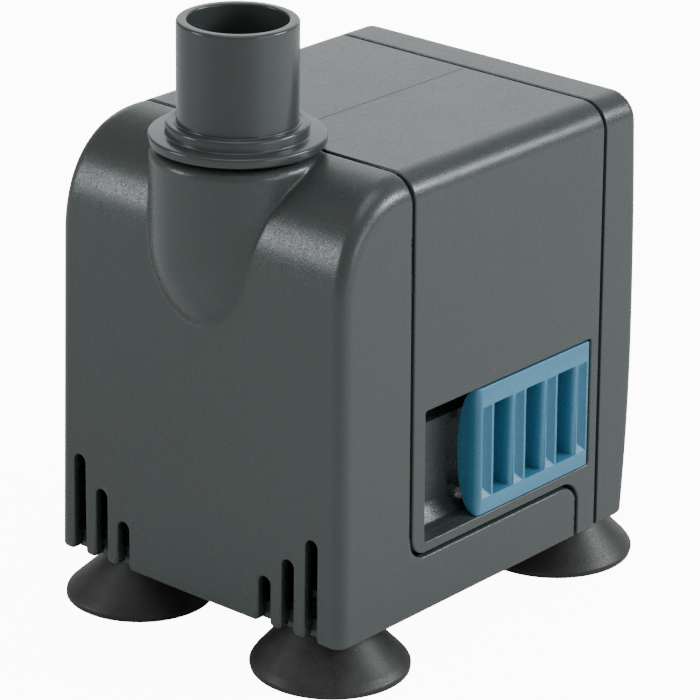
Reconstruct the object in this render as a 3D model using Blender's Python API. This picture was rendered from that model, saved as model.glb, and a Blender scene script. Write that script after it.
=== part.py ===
"""Small submersible fountain pump, modelled as its separate mouldings and motor parts.

Body datum: x = 0 on the mid-plane, y = 0 on the front face, z = 0 under the body.
The row frame puts the origin under the middle of the whole pump, on the suction cup rims.
"""

import math

import bmesh
import bpy
from mathutils import Matrix, Vector

MM = 0.001

# Whole body
BODY_HALF_WIDTH_TOP = 19.90 * MM
BODY_HALF_WIDTH_BASE = 20.67 * MM
BODY_DEPTH = 50.07 * MM
BODY_HEIGHT = 49.94 * MM
FRONT_LEAN = 0.33 * MM
REAR_LEAN = 0.60 * MM
TOP_FILLET = 3.14 * MM
FRONT_EDGE_FILLET = 1.31 * MM
REAR_EDGE_CHAMFER = 0.8 * MM
WALL = 1.7 * MM
GAP = 0.3 * MM
SEAM = 0.35 * MM

# Seams between the three mouldings of the body
FRONT_SEAM_Y = 11.45 * MM
FRONT_CURVE_HEIGHT = 13.2 * MM
REAR_SEAM_Y = 44.14 * MM
TRAY_TOP_Z = 6.70 * MM
TRAY_END_Y = 40.60 * MM
TRAY_END_RADIUS = 2.8 * MM
TRAY_CORNER_RADIUS = 2.2 * MM

# Outlet
OUTLET_Y = 6.27 * MM
TUBE_RADIUS = 6.50 * MM
TUBE_BORE_RADIUS = 5.375 * MM
TUBE_TOP_Z = 63.98 * MM
STEP_RADIUS = 7.57 * MM
STEP_TOP_Z = 52.95 * MM
FLANGE_RADIUS = 9.50 * MM
FLANGE_TOP_Z = 51.65 * MM
FLANGE_BASE_Z = 50.60 * MM
SPIGOT_RADIUS = 6.35 * MM
SPIGOT_BORE_RADIUS = 4.9 * MM
SPIGOT_BASE_Z = 40.0 * MM
BOSS_RADIUS = 9.45 * MM
BOSS_WIDEST_Z = 40.5 * MM
BOSS_TIP_LENGTH = 12.25 * MM
SOCKET_RADIUS = 7.9 * MM
SOCKET_BORE_RADIUS = 6.8 * MM
SOCKET_BASE_Z = 36.0 * MM

# Front slots
SLOT_WIDTH = 1.75 * MM
SLOT_TOPS = {10.4 * MM: 5.35 * MM, 13.7 * MM: 8.3 * MM, 17.0 * MM: 11.5 * MM}

# Side window and flow slider
WINDOW_Y = (13.76 * MM, 42.45 * MM)
WINDOW_Z = (7.95 * MM, 23.10 * MM)
BAFFLE_X = (14.3 * MM, 15.5 * MM)
BAFFLE_TOP_Z = 19.2 * MM
BAFFLE_HOLE_Y = (22.8 * MM, 37.5 * MM)
BAFFLE_HOLE_Z = (9.3 * MM, 18.3 * MM)
BAFFLE_HOLE_BULGE = 0.75 * MM
CHANNEL_X = 12.9 * MM
SLIDER_Y = (22.60 * MM, 42.20 * MM)
SLIDER_Z = (8.15 * MM, 22.90 * MM)
SLIDER_THICKNESS = 3.0 * MM
SLIDER_TRAVEL = 8.8 * MM
LOUVRE_PITCH = 5.6 * MM
LOUVRE_FIRST_Y = 25.35 * MM
LOUVRE_WIDTH = 2.9 * MM
LOUVRE_Z = (9.9 * MM, 20.6 * MM)
FLUTE_FIRST_Y = 23.6 * MM
FLUTE_WIDTH = 1.3 * MM
FLUTE_DEPTH = 0.8 * MM
TAB_Y = (33.0 * MM, 39.0 * MM)
TAB_X = (18.4 * MM, 19.2 * MM)
TAB_REACH = 0.8 * MM

# Rotor, pump chamber and rotor well, all round the rotor axis
AXIS_Z = 19.0 * MM
SHAFT_RADIUS = 1.0 * MM
RUNNING_HOLE_RADIUS = 1.12 * MM
MAGNET_RADIUS = 5.5 * MM
WELL_BORE_RADIUS = 6.0 * MM
WELL_RADIUS = 7.1 * MM
WELL_END_Y = 34.0 * MM
IMPELLER_RADIUS = 9.0 * MM
CHAMBER_RADIUS = 11.0 * MM
CHAMBER_OUTER_RADIUS = 12.3 * MM
CHAMBER_Y = (2.2 * MM, 11.4 * MM)
BACKPLATE_RADIUS = 10.6 * MM
EYE_RADIUS = 6.5 * MM

# Motor compartment and stator
COMPARTMENT_FRONT_Y = 13.6 * MM
COMPARTMENT_LOW = (11.7 * MM, 4.0 * MM, 25.3 * MM)
COMPARTMENT_HIGH = (17.9 * MM, 25.0 * MM, 47.9 * MM)
CORE_X = (6.6 * MM, 11.3 * MM)
CORE_Y = (21.0 * MM, 33.0 * MM)
CORE_Z = (12.0 * MM, 40.5 * MM)
YOKE_Z = 35.5 * MM

# Suction cups
FOOT_HEIGHT = 6.70 * MM
CUP_RADIUS = 8.90 * MM
CUP_X = 13.10 * MM
CUP_FRONT_Y = 6.45 * MM
CUP_REAR_Y = 46.90 * MM
STEM_RADIUS = 1.2 * MM

# Cord gland
GLAND_Z = 12.0 * MM
GLAND_HOLE_RADIUS = 2.6 * MM
GLAND_NECK_RADIUS = 3.2 * MM
GLAND_FLANGE_RADIUS = 4.6 * MM

# The datum's place in the row frame: midway between the flange's front and the rear cups' backs
FRONTMOST_Y = OUTLET_Y - FLANGE_RADIUS
REARMOST_Y = CUP_REAR_Y + CUP_RADIUS
DATUM = Vector((0, -(FRONTMOST_Y + REARMOST_Y) / 2, FOOT_HEIGHT))

FAR = 80 * MM
ROUND_STEPS = 32
SMALL_STEPS = 20

# Mouldings whose nearly flat neighbouring faces the exact solver leaves open
MANIFOLD_SOLVED = ("front_cover", "motor_housing", "volute_casing")


def clear_scene():
    for obj in list(bpy.data.objects):
        bpy.data.objects.remove(obj)


# Placing and finishing objects

def add_empty(name, place, parent=None):
    empty = bpy.data.objects.new(name, None)
    empty.location = place
    empty.empty_display_size = 0.01
    empty.parent = parent
    bpy.context.collection.objects.link(empty)
    return empty


def add_object(name, bm, place=(0, 0, 0), parent=None):
    bmesh.ops.remove_doubles(bm, verts=bm.verts, dist=1e-7)
    bmesh.ops.recalc_face_normals(bm, faces=bm.faces)
    mesh = bpy.data.meshes.new(name)
    bm.to_mesh(mesh)
    bm.free()
    mesh.shade_smooth()
    mesh.set_sharp_from_angle(angle=math.radians(32))
    obj = bpy.data.objects.new(name, mesh)
    obj.location = place
    obj.parent = parent
    bpy.context.collection.objects.link(obj)
    return obj


def material(name, colour, roughness, metallic=0.0):
    found = bpy.data.materials.new(name)
    found.use_nodes = True
    shader = found.node_tree.nodes["Principled BSDF"]
    shader.inputs["Base Color"].default_value = (*colour, 1)
    shader.inputs["Roughness"].default_value = roughness
    shader.inputs["Metallic"].default_value = metallic
    return found


def combine(obj, operation, bm, place=(0, 0, 0)):
    """Adds a Boolean with a helper solid, which stays out of the render."""
    helper = add_object(f"{obj.name}_{operation.lower()}_{len(obj.modifiers)}", bm, place, obj.parent)
    helper.hide_render = True
    helper.display_type = "WIRE"
    modifier = obj.modifiers.new(helper.name, "BOOLEAN")
    modifier.operation = operation
    modifier.solver = "MANIFOLD" if obj.name in MANIFOLD_SOLVED else "EXACT"
    modifier.object = helper
    return helper


def cut(obj, bm, place=(0, 0, 0)):
    combine(obj, "DIFFERENCE", bm, place)


def join(obj, bm, place=(0, 0, 0)):
    combine(obj, "UNION", bm, place)


def keep_inside(obj, bm, place=(0, 0, 0)):
    combine(obj, "INTERSECT", bm, place)


# Basic solids

def box(x, y, z):
    """A block from its low and high x, y and z."""
    bm = bmesh.new()
    low = Vector((x[0], y[0], z[0]))
    high = Vector((x[1], y[1], z[1]))
    size = Matrix.Diagonal((*(high - low), 1))
    bmesh.ops.create_cube(bm, size=1, matrix=Matrix.Translation((low + high) / 2) @ size)
    return bm


AXIS_FRAMES = {
    "X": Matrix(((0, 0, 1), (1, 0, 0), (0, 1, 0))),
    "Y": Matrix(((1, 0, 0), (0, 0, 1), (0, 1, 0))),
    "Z": Matrix.Identity(3),
}


def prism(outline, low, high, axis):
    """An outline of two coordinates, extruded from low to high along the third, named axis."""
    bm = bmesh.new()
    frame = AXIS_FRAMES[axis]
    base = bm.faces.new([bm.verts.new(frame @ Vector((u, v, low))) for u, v in outline])
    top = bmesh.ops.extrude_face_region(bm, geom=[base])["geom"]
    moved = [part for part in top if isinstance(part, bmesh.types.BMVert)]
    bmesh.ops.translate(bm, verts=moved, vec=frame @ Vector((0, 0, high - low)))
    return bm


def turned(profile, axis="Z", steps=ROUND_STEPS, closed=False):
    """A profile of (radius, height) points spun round the axis."""
    bm = bmesh.new()
    along = Vector((0, 0, 1)) if axis == "Z" else Vector((0, 1, 0))
    verts = [bm.verts.new(Vector((r, 0, 0)) + along * h) for r, h in profile]
    pairs = list(zip(verts, verts[1:]))
    if closed:
        pairs.append((verts[-1], verts[0]))
    edges = [bm.edges.new(pair) for pair in pairs]
    bmesh.ops.spin(
        bm, geom=verts + edges, cent=(0, 0, 0), axis=along, angle=2 * math.pi, steps=steps, use_merge=True
    )
    return bm


def rod(radius, low, high, axis="Z", steps=ROUND_STEPS):
    return turned([(0, low), (radius, low), (radius, high), (0, high)], axis, steps)


def tube(inner, outer, low, high, axis="Z", steps=ROUND_STEPS):
    return turned([(inner, low), (outer, low), (outer, high), (inner, high)], axis, steps, closed=True)


def ring_seal(radius, section, axis, steps=ROUND_STEPS, sides=8):
    """An O-ring: a small circle of this section radius carried round the axis."""
    angles = [2 * math.pi * i / sides for i in range(sides)]
    profile = [(radius + section * math.cos(a), section * math.sin(a)) for a in angles]
    return turned(profile, axis, steps, closed=True)


def arc(centre, radius, start, end, steps=6):
    """Points of an arc in degrees, both ends included."""
    angles = [math.radians(start + (end - start) * i / steps) for i in range(steps + 1)]
    return [(centre[0] + radius * math.cos(a), centre[1] + radius * math.sin(a)) for a in angles]


def rounded_rectangle(u, v, radius, steps=3):
    corners = ((u[1], v[1], 0), (u[0], v[1], 90), (u[0], v[0], 180), (u[1], v[0], 270))
    outline = []
    for (cu, cv, start), (su, sv) in zip(corners, ((-1, -1), (1, -1), (1, 1), (-1, 1))):
        centre = (cu + su * radius, cv + sv * radius)
        outline += arc(centre, radius, start, start + 90, steps)
    return outline


# The body's outer form, shared by the three mouldings

def half_width(z):
    """The drafted side wall's distance from the mid-plane at this height."""
    share = min(max(z / BODY_HEIGHT, 0), 1)
    return BODY_HALF_WIDTH_BASE + (BODY_HALF_WIDTH_TOP - BODY_HALF_WIDTH_BASE) * share


def form_section(bm, y, top, fillet, inset, base):
    """One ring of the body: drafted sides, rounded top corners, flat base."""
    points = [(-half_width(base) + inset, base), (half_width(base) - inset, base)]
    side = half_width(top - fillet) - inset
    right = arc((side - fillet, top - fillet), fillet, 0, 90, 5)
    points += right + [(-x, z) for x, z in reversed(right)]
    return [bm.verts.new((x, y, z)) for x, z in points]


def body_form(inset=0.0, end_y=BODY_DEPTH):
    """The closed outer form of the body, or its inside wall when inset by the wall."""
    bm = bmesh.new()
    height = BODY_HEIGHT - inset
    fillet = TOP_FILLET - inset * 0.6
    edge = FRONT_EDGE_FILLET
    rings = []
    for step in range(10):
        angle = math.radians(10 * step)
        y = inset + (FRONT_SEAM_Y - inset) * (1 - math.cos(angle))
        top = height - FRONT_CURVE_HEIGHT * (1 - math.sin(angle))
        short = max(edge - (y - inset), 0)
        side_inset = inset + edge - math.sqrt(edge**2 - short**2)
        corner = edge + (fillet - edge) * math.sin(angle)
        rings.append(form_section(bm, y, top, corner, side_inset, inset))
    rings.append(form_section(bm, end_y - REAR_EDGE_CHAMFER, height, fillet, inset, inset))
    chamfered = inset + REAR_EDGE_CHAMFER
    rings.append(form_section(bm, end_y, height - REAR_EDGE_CHAMFER, fillet, chamfered, inset))
    for ring, following in zip(rings, rings[1:]):
        for i in range(len(ring)):
            j = (i + 1) % len(ring)
            bm.faces.new((ring[i], ring[j], following[j], following[i]))
    bm.faces.new(rings[0])
    bm.faces.new(rings[-1])
    lean_form(bm, end_y)
    return bm


def lean_form(bm, end_y):
    """Tips the front face forward and the back face in towards the base, as their drafts do."""
    for vert in bm.verts:
        low = 1 - vert.co.z / BODY_HEIGHT
        front = max(0, 1 - vert.co.y / FRONT_SEAM_Y)
        rear = 1 if vert.co.y > end_y - 1.5 * REAR_EDGE_CHAMFER else 0
        vert.co.y += low * (REAR_LEAN * -rear - FRONT_LEAN * front)


def front_region():
    """Side outline of the front cover: the front, and the low tray that runs under the motor."""
    corner = (FRONT_SEAM_Y + TRAY_CORNER_RADIUS, TRAY_TOP_Z + TRAY_CORNER_RADIUS)
    end = (TRAY_END_Y - TRAY_END_RADIUS, TRAY_TOP_Z - TRAY_END_RADIUS)
    outline = [(-FAR, -FAR), (TRAY_END_Y, -FAR)]
    outline += arc(end, TRAY_END_RADIUS, 0, 90)
    outline += arc(corner, TRAY_CORNER_RADIUS, 270, 180)
    return outline + [(FRONT_SEAM_Y, FAR), (-FAR, FAR)]


def housing_region():
    """Side outline of the motor housing's outer walls, one seam away from the other two."""
    corner = (FRONT_SEAM_Y + TRAY_CORNER_RADIUS, TRAY_TOP_Z + TRAY_CORNER_RADIUS)
    end = (TRAY_END_Y - TRAY_END_RADIUS, TRAY_TOP_Z - TRAY_END_RADIUS)
    outline = [(TRAY_END_Y + SEAM, -FAR), (REAR_SEAM_Y - SEAM / 2, -FAR), (REAR_SEAM_Y - SEAM / 2, FAR)]
    outline += [(FRONT_SEAM_Y + SEAM, FAR)]
    outline += arc(corner, TRAY_CORNER_RADIUS - SEAM, 180, 270)
    return outline + arc(end, TRAY_END_RADIUS + SEAM, 90, 0)


# Body mouldings

def boss_profile():
    """The outlet boss: an upright cylinder that ends below in half an ellipsoid."""
    tip = []
    for step in range(9):
        angle = math.radians(90 * step / 8)
        tip.append((BOSS_RADIUS * math.sin(angle), BOSS_WIDEST_Z - BOSS_TIP_LENGTH * math.cos(angle)))
    top = BODY_HEIGHT - 0.05 * MM
    rounding = 0.8 * MM
    edge = arc((BOSS_RADIUS - rounding, top - rounding), rounding, 0, 90, 3)
    return tip + edge + [(0, top)]


def slot_cutter(x, top):
    """A narrow upright slot through the front wall, round at the top and open below."""
    radius = SLOT_WIDTH / 2
    outline = [(x + radius, -2 * MM)] + arc((x, top - radius), radius, 0, 180) + [(x - radius, -2 * MM)]
    return prism(outline, -3 * MM, 2.6 * MM, "Y")


def make_front_cover(datum):
    cover = add_object("front_cover", body_form(), parent=datum)
    outlet = (0, OUTLET_Y, 0)
    join(cover, turned(boss_profile()), outlet)
    keep_inside(cover, prism(front_region(), -FAR, FAR, "X"))
    cut(cover, body_form(WALL, 60 * MM))
    join(cover, rod(SOCKET_RADIUS, SOCKET_BASE_Z, BODY_HEIGHT - 0.2 * MM), outlet)
    cut(cover, rod(SOCKET_BORE_RADIUS, SOCKET_BASE_Z - 1 * MM, FAR), outlet)
    for x, top in SLOT_TOPS.items():
        cut(cover, slot_cutter(x, top))
        cut(cover, slot_cutter(-x, top))
    for side in (-1, 1):
        cut(cover, rod(STEM_RADIUS + GAP, -1 * MM, 3 * MM, steps=SMALL_STEPS), (side * CUP_X, CUP_FRONT_Y, 0))
    return cover


def make_rotor_well(housing):
    """Adds the blind tube that the magnet turns in, and the plate that closes the pump chamber."""
    axis = (0, 0, AXIS_Z)
    join(housing, rod(BACKPLATE_RADIUS, 9.9 * MM, 12.5 * MM, "Y"), axis)
    cut(housing, tube(BACKPLATE_RADIUS - 0.75 * MM, BACKPLATE_RADIUS + 1 * MM, 10.35 * MM, 11.35 * MM, "Y"), axis)
    join(housing, rod(WELL_RADIUS, 12.5 * MM, WELL_END_Y + 1 * MM, "Y"), axis)
    join(housing, rod(4.4 * MM, WELL_END_Y, WELL_END_Y + 4.2 * MM, "Y", SMALL_STEPS), axis)
    cut(housing, rod(WELL_BORE_RADIUS, 9 * MM, WELL_END_Y, "Y"), axis)
    cut(housing, rod(3.2 * MM, WELL_END_Y - 1 * MM, WELL_END_Y + 3 * MM, "Y", SMALL_STEPS), axis)


def baffle_hole():
    """The inlet's outline in y and z: a rectangle whose ends bulge outwards."""
    (y0, y1), (z0, z1) = BAFFLE_HOLE_Y, BAFFLE_HOLE_Z
    half = (z1 - z0) / 2
    bulge = BAFFLE_HOLE_BULGE
    radius = (half**2 + bulge**2) / (2 * bulge)
    sweep = math.degrees(math.asin(half / radius))
    middle = (z0 + z1) / 2
    right = arc((y1 + bulge - radius, middle), radius, -sweep, sweep)
    left = arc((y0 - bulge + radius, middle), radius, 180 - sweep, 180 + sweep)
    return right + left


def cut_side_window(housing):
    """The recess behind the flow slider, the channel to the front, and the baffle between them."""
    outside = 30 * MM
    cut(housing, box((BAFFLE_X[1], outside), WINDOW_Y, WINDOW_Z))
    cut(housing, box((CHANNEL_X, BAFFLE_X[0]), (8 * MM, 41 * MM), (WINDOW_Z[0] + 0.4 * MM, WINDOW_Z[1] - 0.4 * MM)))
    over = (BAFFLE_TOP_Z, WINDOW_Z[1] - 0.2 * MM)
    cut(housing, box((CHANNEL_X + 0.2 * MM, BAFFLE_X[1] + 1 * MM), (14.5 * MM, 40 * MM), over))
    cut(housing, prism(baffle_hole(), CHANNEL_X + 0.5 * MM, BAFFLE_X[1] + 1 * MM, "X"))
    groove_y = (TAB_Y[0] - SLIDER_TRAVEL - GAP, TAB_Y[1] + GAP)
    groove_z = (WINDOW_Z[0] - TAB_REACH, WINDOW_Z[1] + TAB_REACH)
    cut(housing, box((TAB_X[0] - GAP, TAB_X[1] + GAP), groove_y, groove_z))


def make_motor_housing(datum):
    housing = add_object("motor_housing", body_form(), parent=datum)
    keep_inside(housing, prism(housing_region(), -FAR, FAR, "X"))
    floor = WALL + GAP
    inner = BODY_HALF_WIDTH_BASE - WALL - GAP - 0.2 * MM
    join(housing, box((-inner, inner), (FRONT_SEAM_Y + SEAM + 0.1 * MM, TRAY_END_Y + 1 * MM), (floor, 12 * MM)))
    behind = 60 * MM
    half, low, high = COMPARTMENT_LOW
    cut(housing, box((-half, half), (COMPARTMENT_FRONT_Y, behind), (low, high)))
    half, low, high = COMPARTMENT_HIGH
    cut(housing, box((-half, half), (COMPARTMENT_FRONT_Y + 0.01 * MM, behind), (low, high)))
    cut(housing, box((-18.3 * MM, -13.1 * MM), (COMPARTMENT_FRONT_Y, behind), (4.2 * MM, 23.6 * MM)))
    join(housing, box((-8.6 * MM, 8.6 * MM), (13 * MM, 16.4 * MM), (32.5 * MM, 48.5 * MM)))
    cut(housing, rod(SOCKET_RADIUS + 0.4 * MM, SOCKET_BASE_Z - 1.5 * MM, FAR), (0, OUTLET_Y, 0))
    make_rotor_well(housing)
    cut_side_window(housing)
    return housing


def make_rear_cover(datum):
    cover = add_object("rear_cover", body_form(), parent=datum)
    keep_inside(cover, box((-FAR, FAR), (REAR_SEAM_Y + SEAM / 2, FAR), (-FAR, FAR)))
    inner = BODY_HALF_WIDTH_TOP - WALL
    hollow = rounded_rectangle((-inner, inner), (1.8 * MM, BODY_HEIGHT - 1.8 * MM), 2 * MM)
    cut(cover, prism(hollow, 40 * MM, 47.6 * MM, "Y"))
    for side in (-1, 1):
        place = (side * CUP_X, CUP_REAR_Y - 0.3 * MM, 0)
        join(cover, box((-2.6 * MM, 2.6 * MM), (-1.9 * MM, 1.9 * MM), (0.5 * MM, 6 * MM)), place)
        cut(cover, rod(STEM_RADIUS + 0.2 * MM, -1 * MM, 4.8 * MM, steps=SMALL_STEPS), (side * CUP_X, CUP_REAR_Y, 0))
    cut(cover, rod(GLAND_NECK_RADIUS + GAP, 40 * MM, 60 * MM, "Y"), (0, 0, GLAND_Z))
    return cover


def make_cord_gland(datum):
    """A rubber grommet, gripped by the back wall between its two flanges."""
    inner, neck, flange = GLAND_HOLE_RADIUS, GLAND_NECK_RADIUS, GLAND_FLANGE_RADIUS
    wall = (47.3 * MM, 49.95 * MM)
    lip = 1.1 * MM
    profile = [(inner, wall[0] - lip), (flange, wall[0] - lip), (flange, wall[0]), (neck, wall[0])]
    profile += [(neck, wall[1]), (flange, wall[1]), (flange - 0.3 * MM, wall[1] + lip), (inner, wall[1] + lip)]
    return add_object("cord_gland", turned(profile, "Y", closed=True), (0, 0, GLAND_Z), datum)


# Outlet

def make_outlet_nozzle(parent):
    """A stepped hose tube with a flange, and a spigot with a seal groove below it."""
    edge = 0.35 * MM
    groove = (44.2 * MM, 45.4 * MM)
    profile = [(SPIGOT_BORE_RADIUS, SPIGOT_BASE_Z), (SPIGOT_RADIUS - edge, SPIGOT_BASE_Z)]
    profile += [(SPIGOT_RADIUS, SPIGOT_BASE_Z + edge), (SPIGOT_RADIUS, groove[0])]
    profile += [(SPIGOT_RADIUS - 0.5 * MM, groove[0]), (SPIGOT_RADIUS - 0.5 * MM, groove[1])]
    profile += [(SPIGOT_RADIUS, groove[1]), (SPIGOT_RADIUS, FLANGE_BASE_Z)]
    profile += [(FLANGE_RADIUS, FLANGE_BASE_Z), (FLANGE_RADIUS, FLANGE_TOP_Z - 0.2 * MM)]
    profile += [(FLANGE_RADIUS - 0.2 * MM, FLANGE_TOP_Z), (STEP_RADIUS, FLANGE_TOP_Z)]
    profile += [(STEP_RADIUS, STEP_TOP_Z - 0.2 * MM), (STEP_RADIUS - 0.2 * MM, STEP_TOP_Z)]
    profile += [(TUBE_RADIUS, STEP_TOP_Z), (TUBE_RADIUS, TUBE_TOP_Z - edge)]
    profile += [(TUBE_RADIUS - edge, TUBE_TOP_Z), (TUBE_BORE_RADIUS, TUBE_TOP_Z)]
    profile += [(TUBE_BORE_RADIUS, 52 * MM), (SPIGOT_BORE_RADIUS, 51 * MM)]
    return add_object("outlet_nozzle", turned(profile, closed=True, steps=40), parent=parent)


def make_nozzle_seal(parent):
    seal = ring_seal(SPIGOT_RADIUS - 0.05 * MM, 0.4 * MM, "Z")
    return add_object("nozzle_seal", seal, (0, 0, 44.8 * MM), parent)


# Flow slider

def slider_section():
    """The slider's end outline in x and z: a flat drafted face and an arched back."""
    z0, z1 = SLIDER_Z
    face = [(half_width(z0), z0), (half_width(z1), z1)]
    half = (z1 - z0) / 2
    middle_x = half_width((z0 + z1) / 2)
    back = []
    for step in range(1, 10):
        angle = math.radians(90 - 18 * step)
        depth = SLIDER_THICKNESS * math.cos(angle) ** 0.8
        back.append((middle_x - max(depth, 0.4 * MM), (z0 + z1) / 2 + half * math.sin(angle)))
    return face + [(face[1][0] - 0.4 * MM, z1)] + back + [(face[0][0] - 0.4 * MM, z0)]


def make_flow_slider(parent, rest_y):
    low, high = SLIDER_Y
    slider = add_object("flow_slider", prism(slider_section(), 0, high - low, "Y"), parent=parent)
    for step in range(3):
        y = LOUVRE_FIRST_Y + step * LOUVRE_PITCH - rest_y
        cut(slider, box((10 * MM, 30 * MM), (y, y + LOUVRE_WIDTH), LOUVRE_Z))
    for step in range(4):
        y = FLUTE_FIRST_Y + step * LOUVRE_PITCH - rest_y
        outline = rounded_rectangle((y, y + FLUTE_WIDTH), LOUVRE_Z, 0.6 * MM)
        surface = half_width(15 * MM)
        cut(slider, prism(outline, surface - FLUTE_DEPTH, surface + 2 * MM, "X"))
    tab_y = (TAB_Y[0] - rest_y, TAB_Y[1] - rest_y)
    reach = TAB_REACH - GAP
    join(slider, box(TAB_X, tab_y, (SLIDER_Z[1] - 1 * MM, SLIDER_Z[1] + reach)))
    join(slider, box(TAB_X, tab_y, (SLIDER_Z[0] - reach, SLIDER_Z[0] + 1 * MM)))
    return slider


# Pump chamber

def make_volute_casing(datum):
    """The round chamber with its neck up to the outlet and a three-armed eye at the front."""
    axis = (0, 0, AXIS_Z)
    front, back = CHAMBER_Y
    plate = front + 1.2 * MM
    casing = add_object("volute_casing", rod(CHAMBER_OUTER_RADIUS, front, back, "Y"), axis, datum)
    neck = rounded_rectangle((-6.2 * MM, 6.2 * MM), (front + 0.02 * MM, back - 0.02 * MM), 2 * MM)
    join(casing, prism(neck, 26 * MM, SOCKET_BASE_Z - GAP, "Z"))
    cut(casing, rod(CHAMBER_RADIUS, plate, FAR, "Y"), axis)
    neck_bore = rounded_rectangle((-4.9 * MM, 4.9 * MM), (plate + 0.05 * MM, back - 1.2 * MM), 1.4 * MM)
    cut(casing, prism(neck_bore, 25 * MM, FAR, "Z"))
    cut(casing, tube(3.5 * MM, EYE_RADIUS, front - 1 * MM, plate + 1 * MM, "Y"), axis)
    for step in range(3):
        arm = box((-0.7 * MM, 0.7 * MM), (front + 0.1 * MM, plate - 0.1 * MM), (3.2 * MM, EYE_RADIUS + 0.5 * MM))
        bmesh.ops.rotate(arm, verts=arm.verts, matrix=Matrix.Rotation(math.radians(120 * step + 60), 3, "Y"))
        join(casing, arm, axis)
    join(casing, rod(3.6 * MM, front + 0.15 * MM, plate + 1.5 * MM, "Y", SMALL_STEPS), axis)
    cut(casing, rod(2.5 * MM, front + 0.6 * MM, FAR, "Y", SMALL_STEPS), axis)
    return casing


def make_chamber_seal(datum):
    seal = ring_seal(BACKPLATE_RADIUS - 0.2 * MM, 0.42 * MM, "Y")
    return add_object("chamber_seal", seal, (0, 10.85 * MM, AXIS_Z), datum)


# Rotor

def make_impeller(spindle):
    """Six straight blades on a back disc, with a neck that reaches back to the magnet."""
    disc = (8.5 * MM, 9.5 * MM)
    impeller = add_object("impeller", rod(IMPELLER_RADIUS, *disc, "Y"), parent=spindle)
    for step in range(3):
        blade = box((-8.8 * MM, 8.8 * MM), (5.6 * MM, 9 * MM), (-0.5 * MM, 0.5 * MM))
        bmesh.ops.rotate(blade, verts=blade.verts, matrix=Matrix.Rotation(math.radians(60 * step), 3, "Y"))
        join(impeller, blade)
    join(impeller, rod(2.6 * MM, 5.9 * MM, 12.6 * MM, "Y", SMALL_STEPS))
    cut(impeller, rod(RUNNING_HOLE_RADIUS, 0, FAR, "Y", SMALL_STEPS))
    return impeller


def make_rotor_magnet(spindle):
    edge = 0.4 * MM
    low, high = 12.9 * MM, 32.9 * MM
    profile = [(RUNNING_HOLE_RADIUS, low), (MAGNET_RADIUS - edge, low), (MAGNET_RADIUS, low + edge)]
    profile += [(MAGNET_RADIUS, high - edge), (MAGNET_RADIUS - edge, high), (RUNNING_HOLE_RADIUS, high)]
    return add_object("rotor_magnet", turned(profile, "Y", closed=True), parent=spindle)


def make_washers(spindle):
    """Two thrust washers, one before the impeller and one behind the magnet."""
    for name, low in (("front_thrust_washer", 5.1 * MM), ("rear_thrust_washer", 33.1 * MM)):
        washer = tube(RUNNING_HOLE_RADIUS, 2.2 * MM, low, low + 0.5 * MM, "Y", SMALL_STEPS)
        add_object(name, washer, parent=spindle)


def make_rotor_shaft(datum):
    edge = 0.2 * MM
    low, high = 3.2 * MM, 36.2 * MM
    profile = [(0, low), (SHAFT_RADIUS - edge, low), (SHAFT_RADIUS, low + edge)]
    profile += [(SHAFT_RADIUS, high - edge), (SHAFT_RADIUS - edge, high), (0, high)]
    return add_object("rotor_shaft", turned(profile, "Y", SMALL_STEPS), (0, 0, AXIS_Z), datum)


def make_bushes(datum):
    """Rubber bushes that hold the fixed shaft: one in the chamber's eye, one in the well's end."""
    for name, radius, low, high in (
        ("front_bush", 2.2 * MM, 3.1 * MM, 4.9 * MM),
        ("rear_bush", 2.9 * MM, 34.1 * MM, 36.7 * MM),
    ):
        bush = tube(RUNNING_HOLE_RADIUS, radius, low, high, "Y", SMALL_STEPS)
        add_object(name, bush, (0, 0, AXIS_Z), datum)


# Stator

def make_stator_core(datum):
    """A U of stacked laminations, its pole faces hollowed round the rotor well."""
    (inner, outer), (low, high) = CORE_X, CORE_Z
    outline = [(-outer, low), (-inner, low), (-inner, YOKE_Z), (inner, YOKE_Z)]
    outline += [(inner, low), (outer, low), (outer, high), (-outer, high)]
    core = add_object("stator_core", prism(outline, *CORE_Y, "Y"), parent=datum)
    cut(core, rod(WELL_RADIUS + GAP, 0, FAR, "Y"), (0, 0, AXIS_Z))
    return core


def around_yoke(clearance):
    """The rectangle in y and z that lies this far outside the yoke."""
    y = (CORE_Y[0] - clearance, CORE_Y[1] + clearance)
    z = (YOKE_Z - clearance, CORE_Z[1] + clearance)
    return y, z


def make_coil_bobbin(datum):
    barrel = prism(rounded_rectangle(*around_yoke(1.1 * MM), 0.6 * MM), -6 * MM, 6 * MM, "X")
    bobbin = add_object("coil_bobbin", barrel, parent=datum)
    for side in (-1, 1):
        near, far = sorted((side * 4.8 * MM, side * 6.3 * MM))
        join(bobbin, prism(rounded_rectangle(*around_yoke(4.2 * MM), 1 * MM), near, far, "X"))
    cut(bobbin, prism(rounded_rectangle(*around_yoke(GAP), 0.2 * MM), -10 * MM, 10 * MM, "X"))
    for side in (-1, 1):
        cut(bobbin, rod(0.5 * MM, 34 * MM, 40 * MM, "Y", 12), (side * 5.55 * MM, 0, 43.5 * MM))
    return bobbin


def make_terminal_pins(datum):
    for side, name in ((-1, "terminal_pin_left"), (1, "terminal_pin_right")):
        pin = rod(0.35 * MM, 34.5 * MM, 38.2 * MM, "Y", 12)
        add_object(name, pin, (side * 5.55 * MM, 0, 43.5 * MM), datum)


def make_coil_winding(datum):
    outline = rounded_rectangle(*around_yoke(3.7 * MM), 2 * MM, 4)
    winding = add_object("coil_winding", prism(outline, -4.5 * MM, 4.5 * MM, "X"), parent=datum)
    cut(winding, prism(rounded_rectangle(*around_yoke(1.4 * MM), 0.9 * MM), -10 * MM, 10 * MM, "X"))
    return winding


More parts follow.
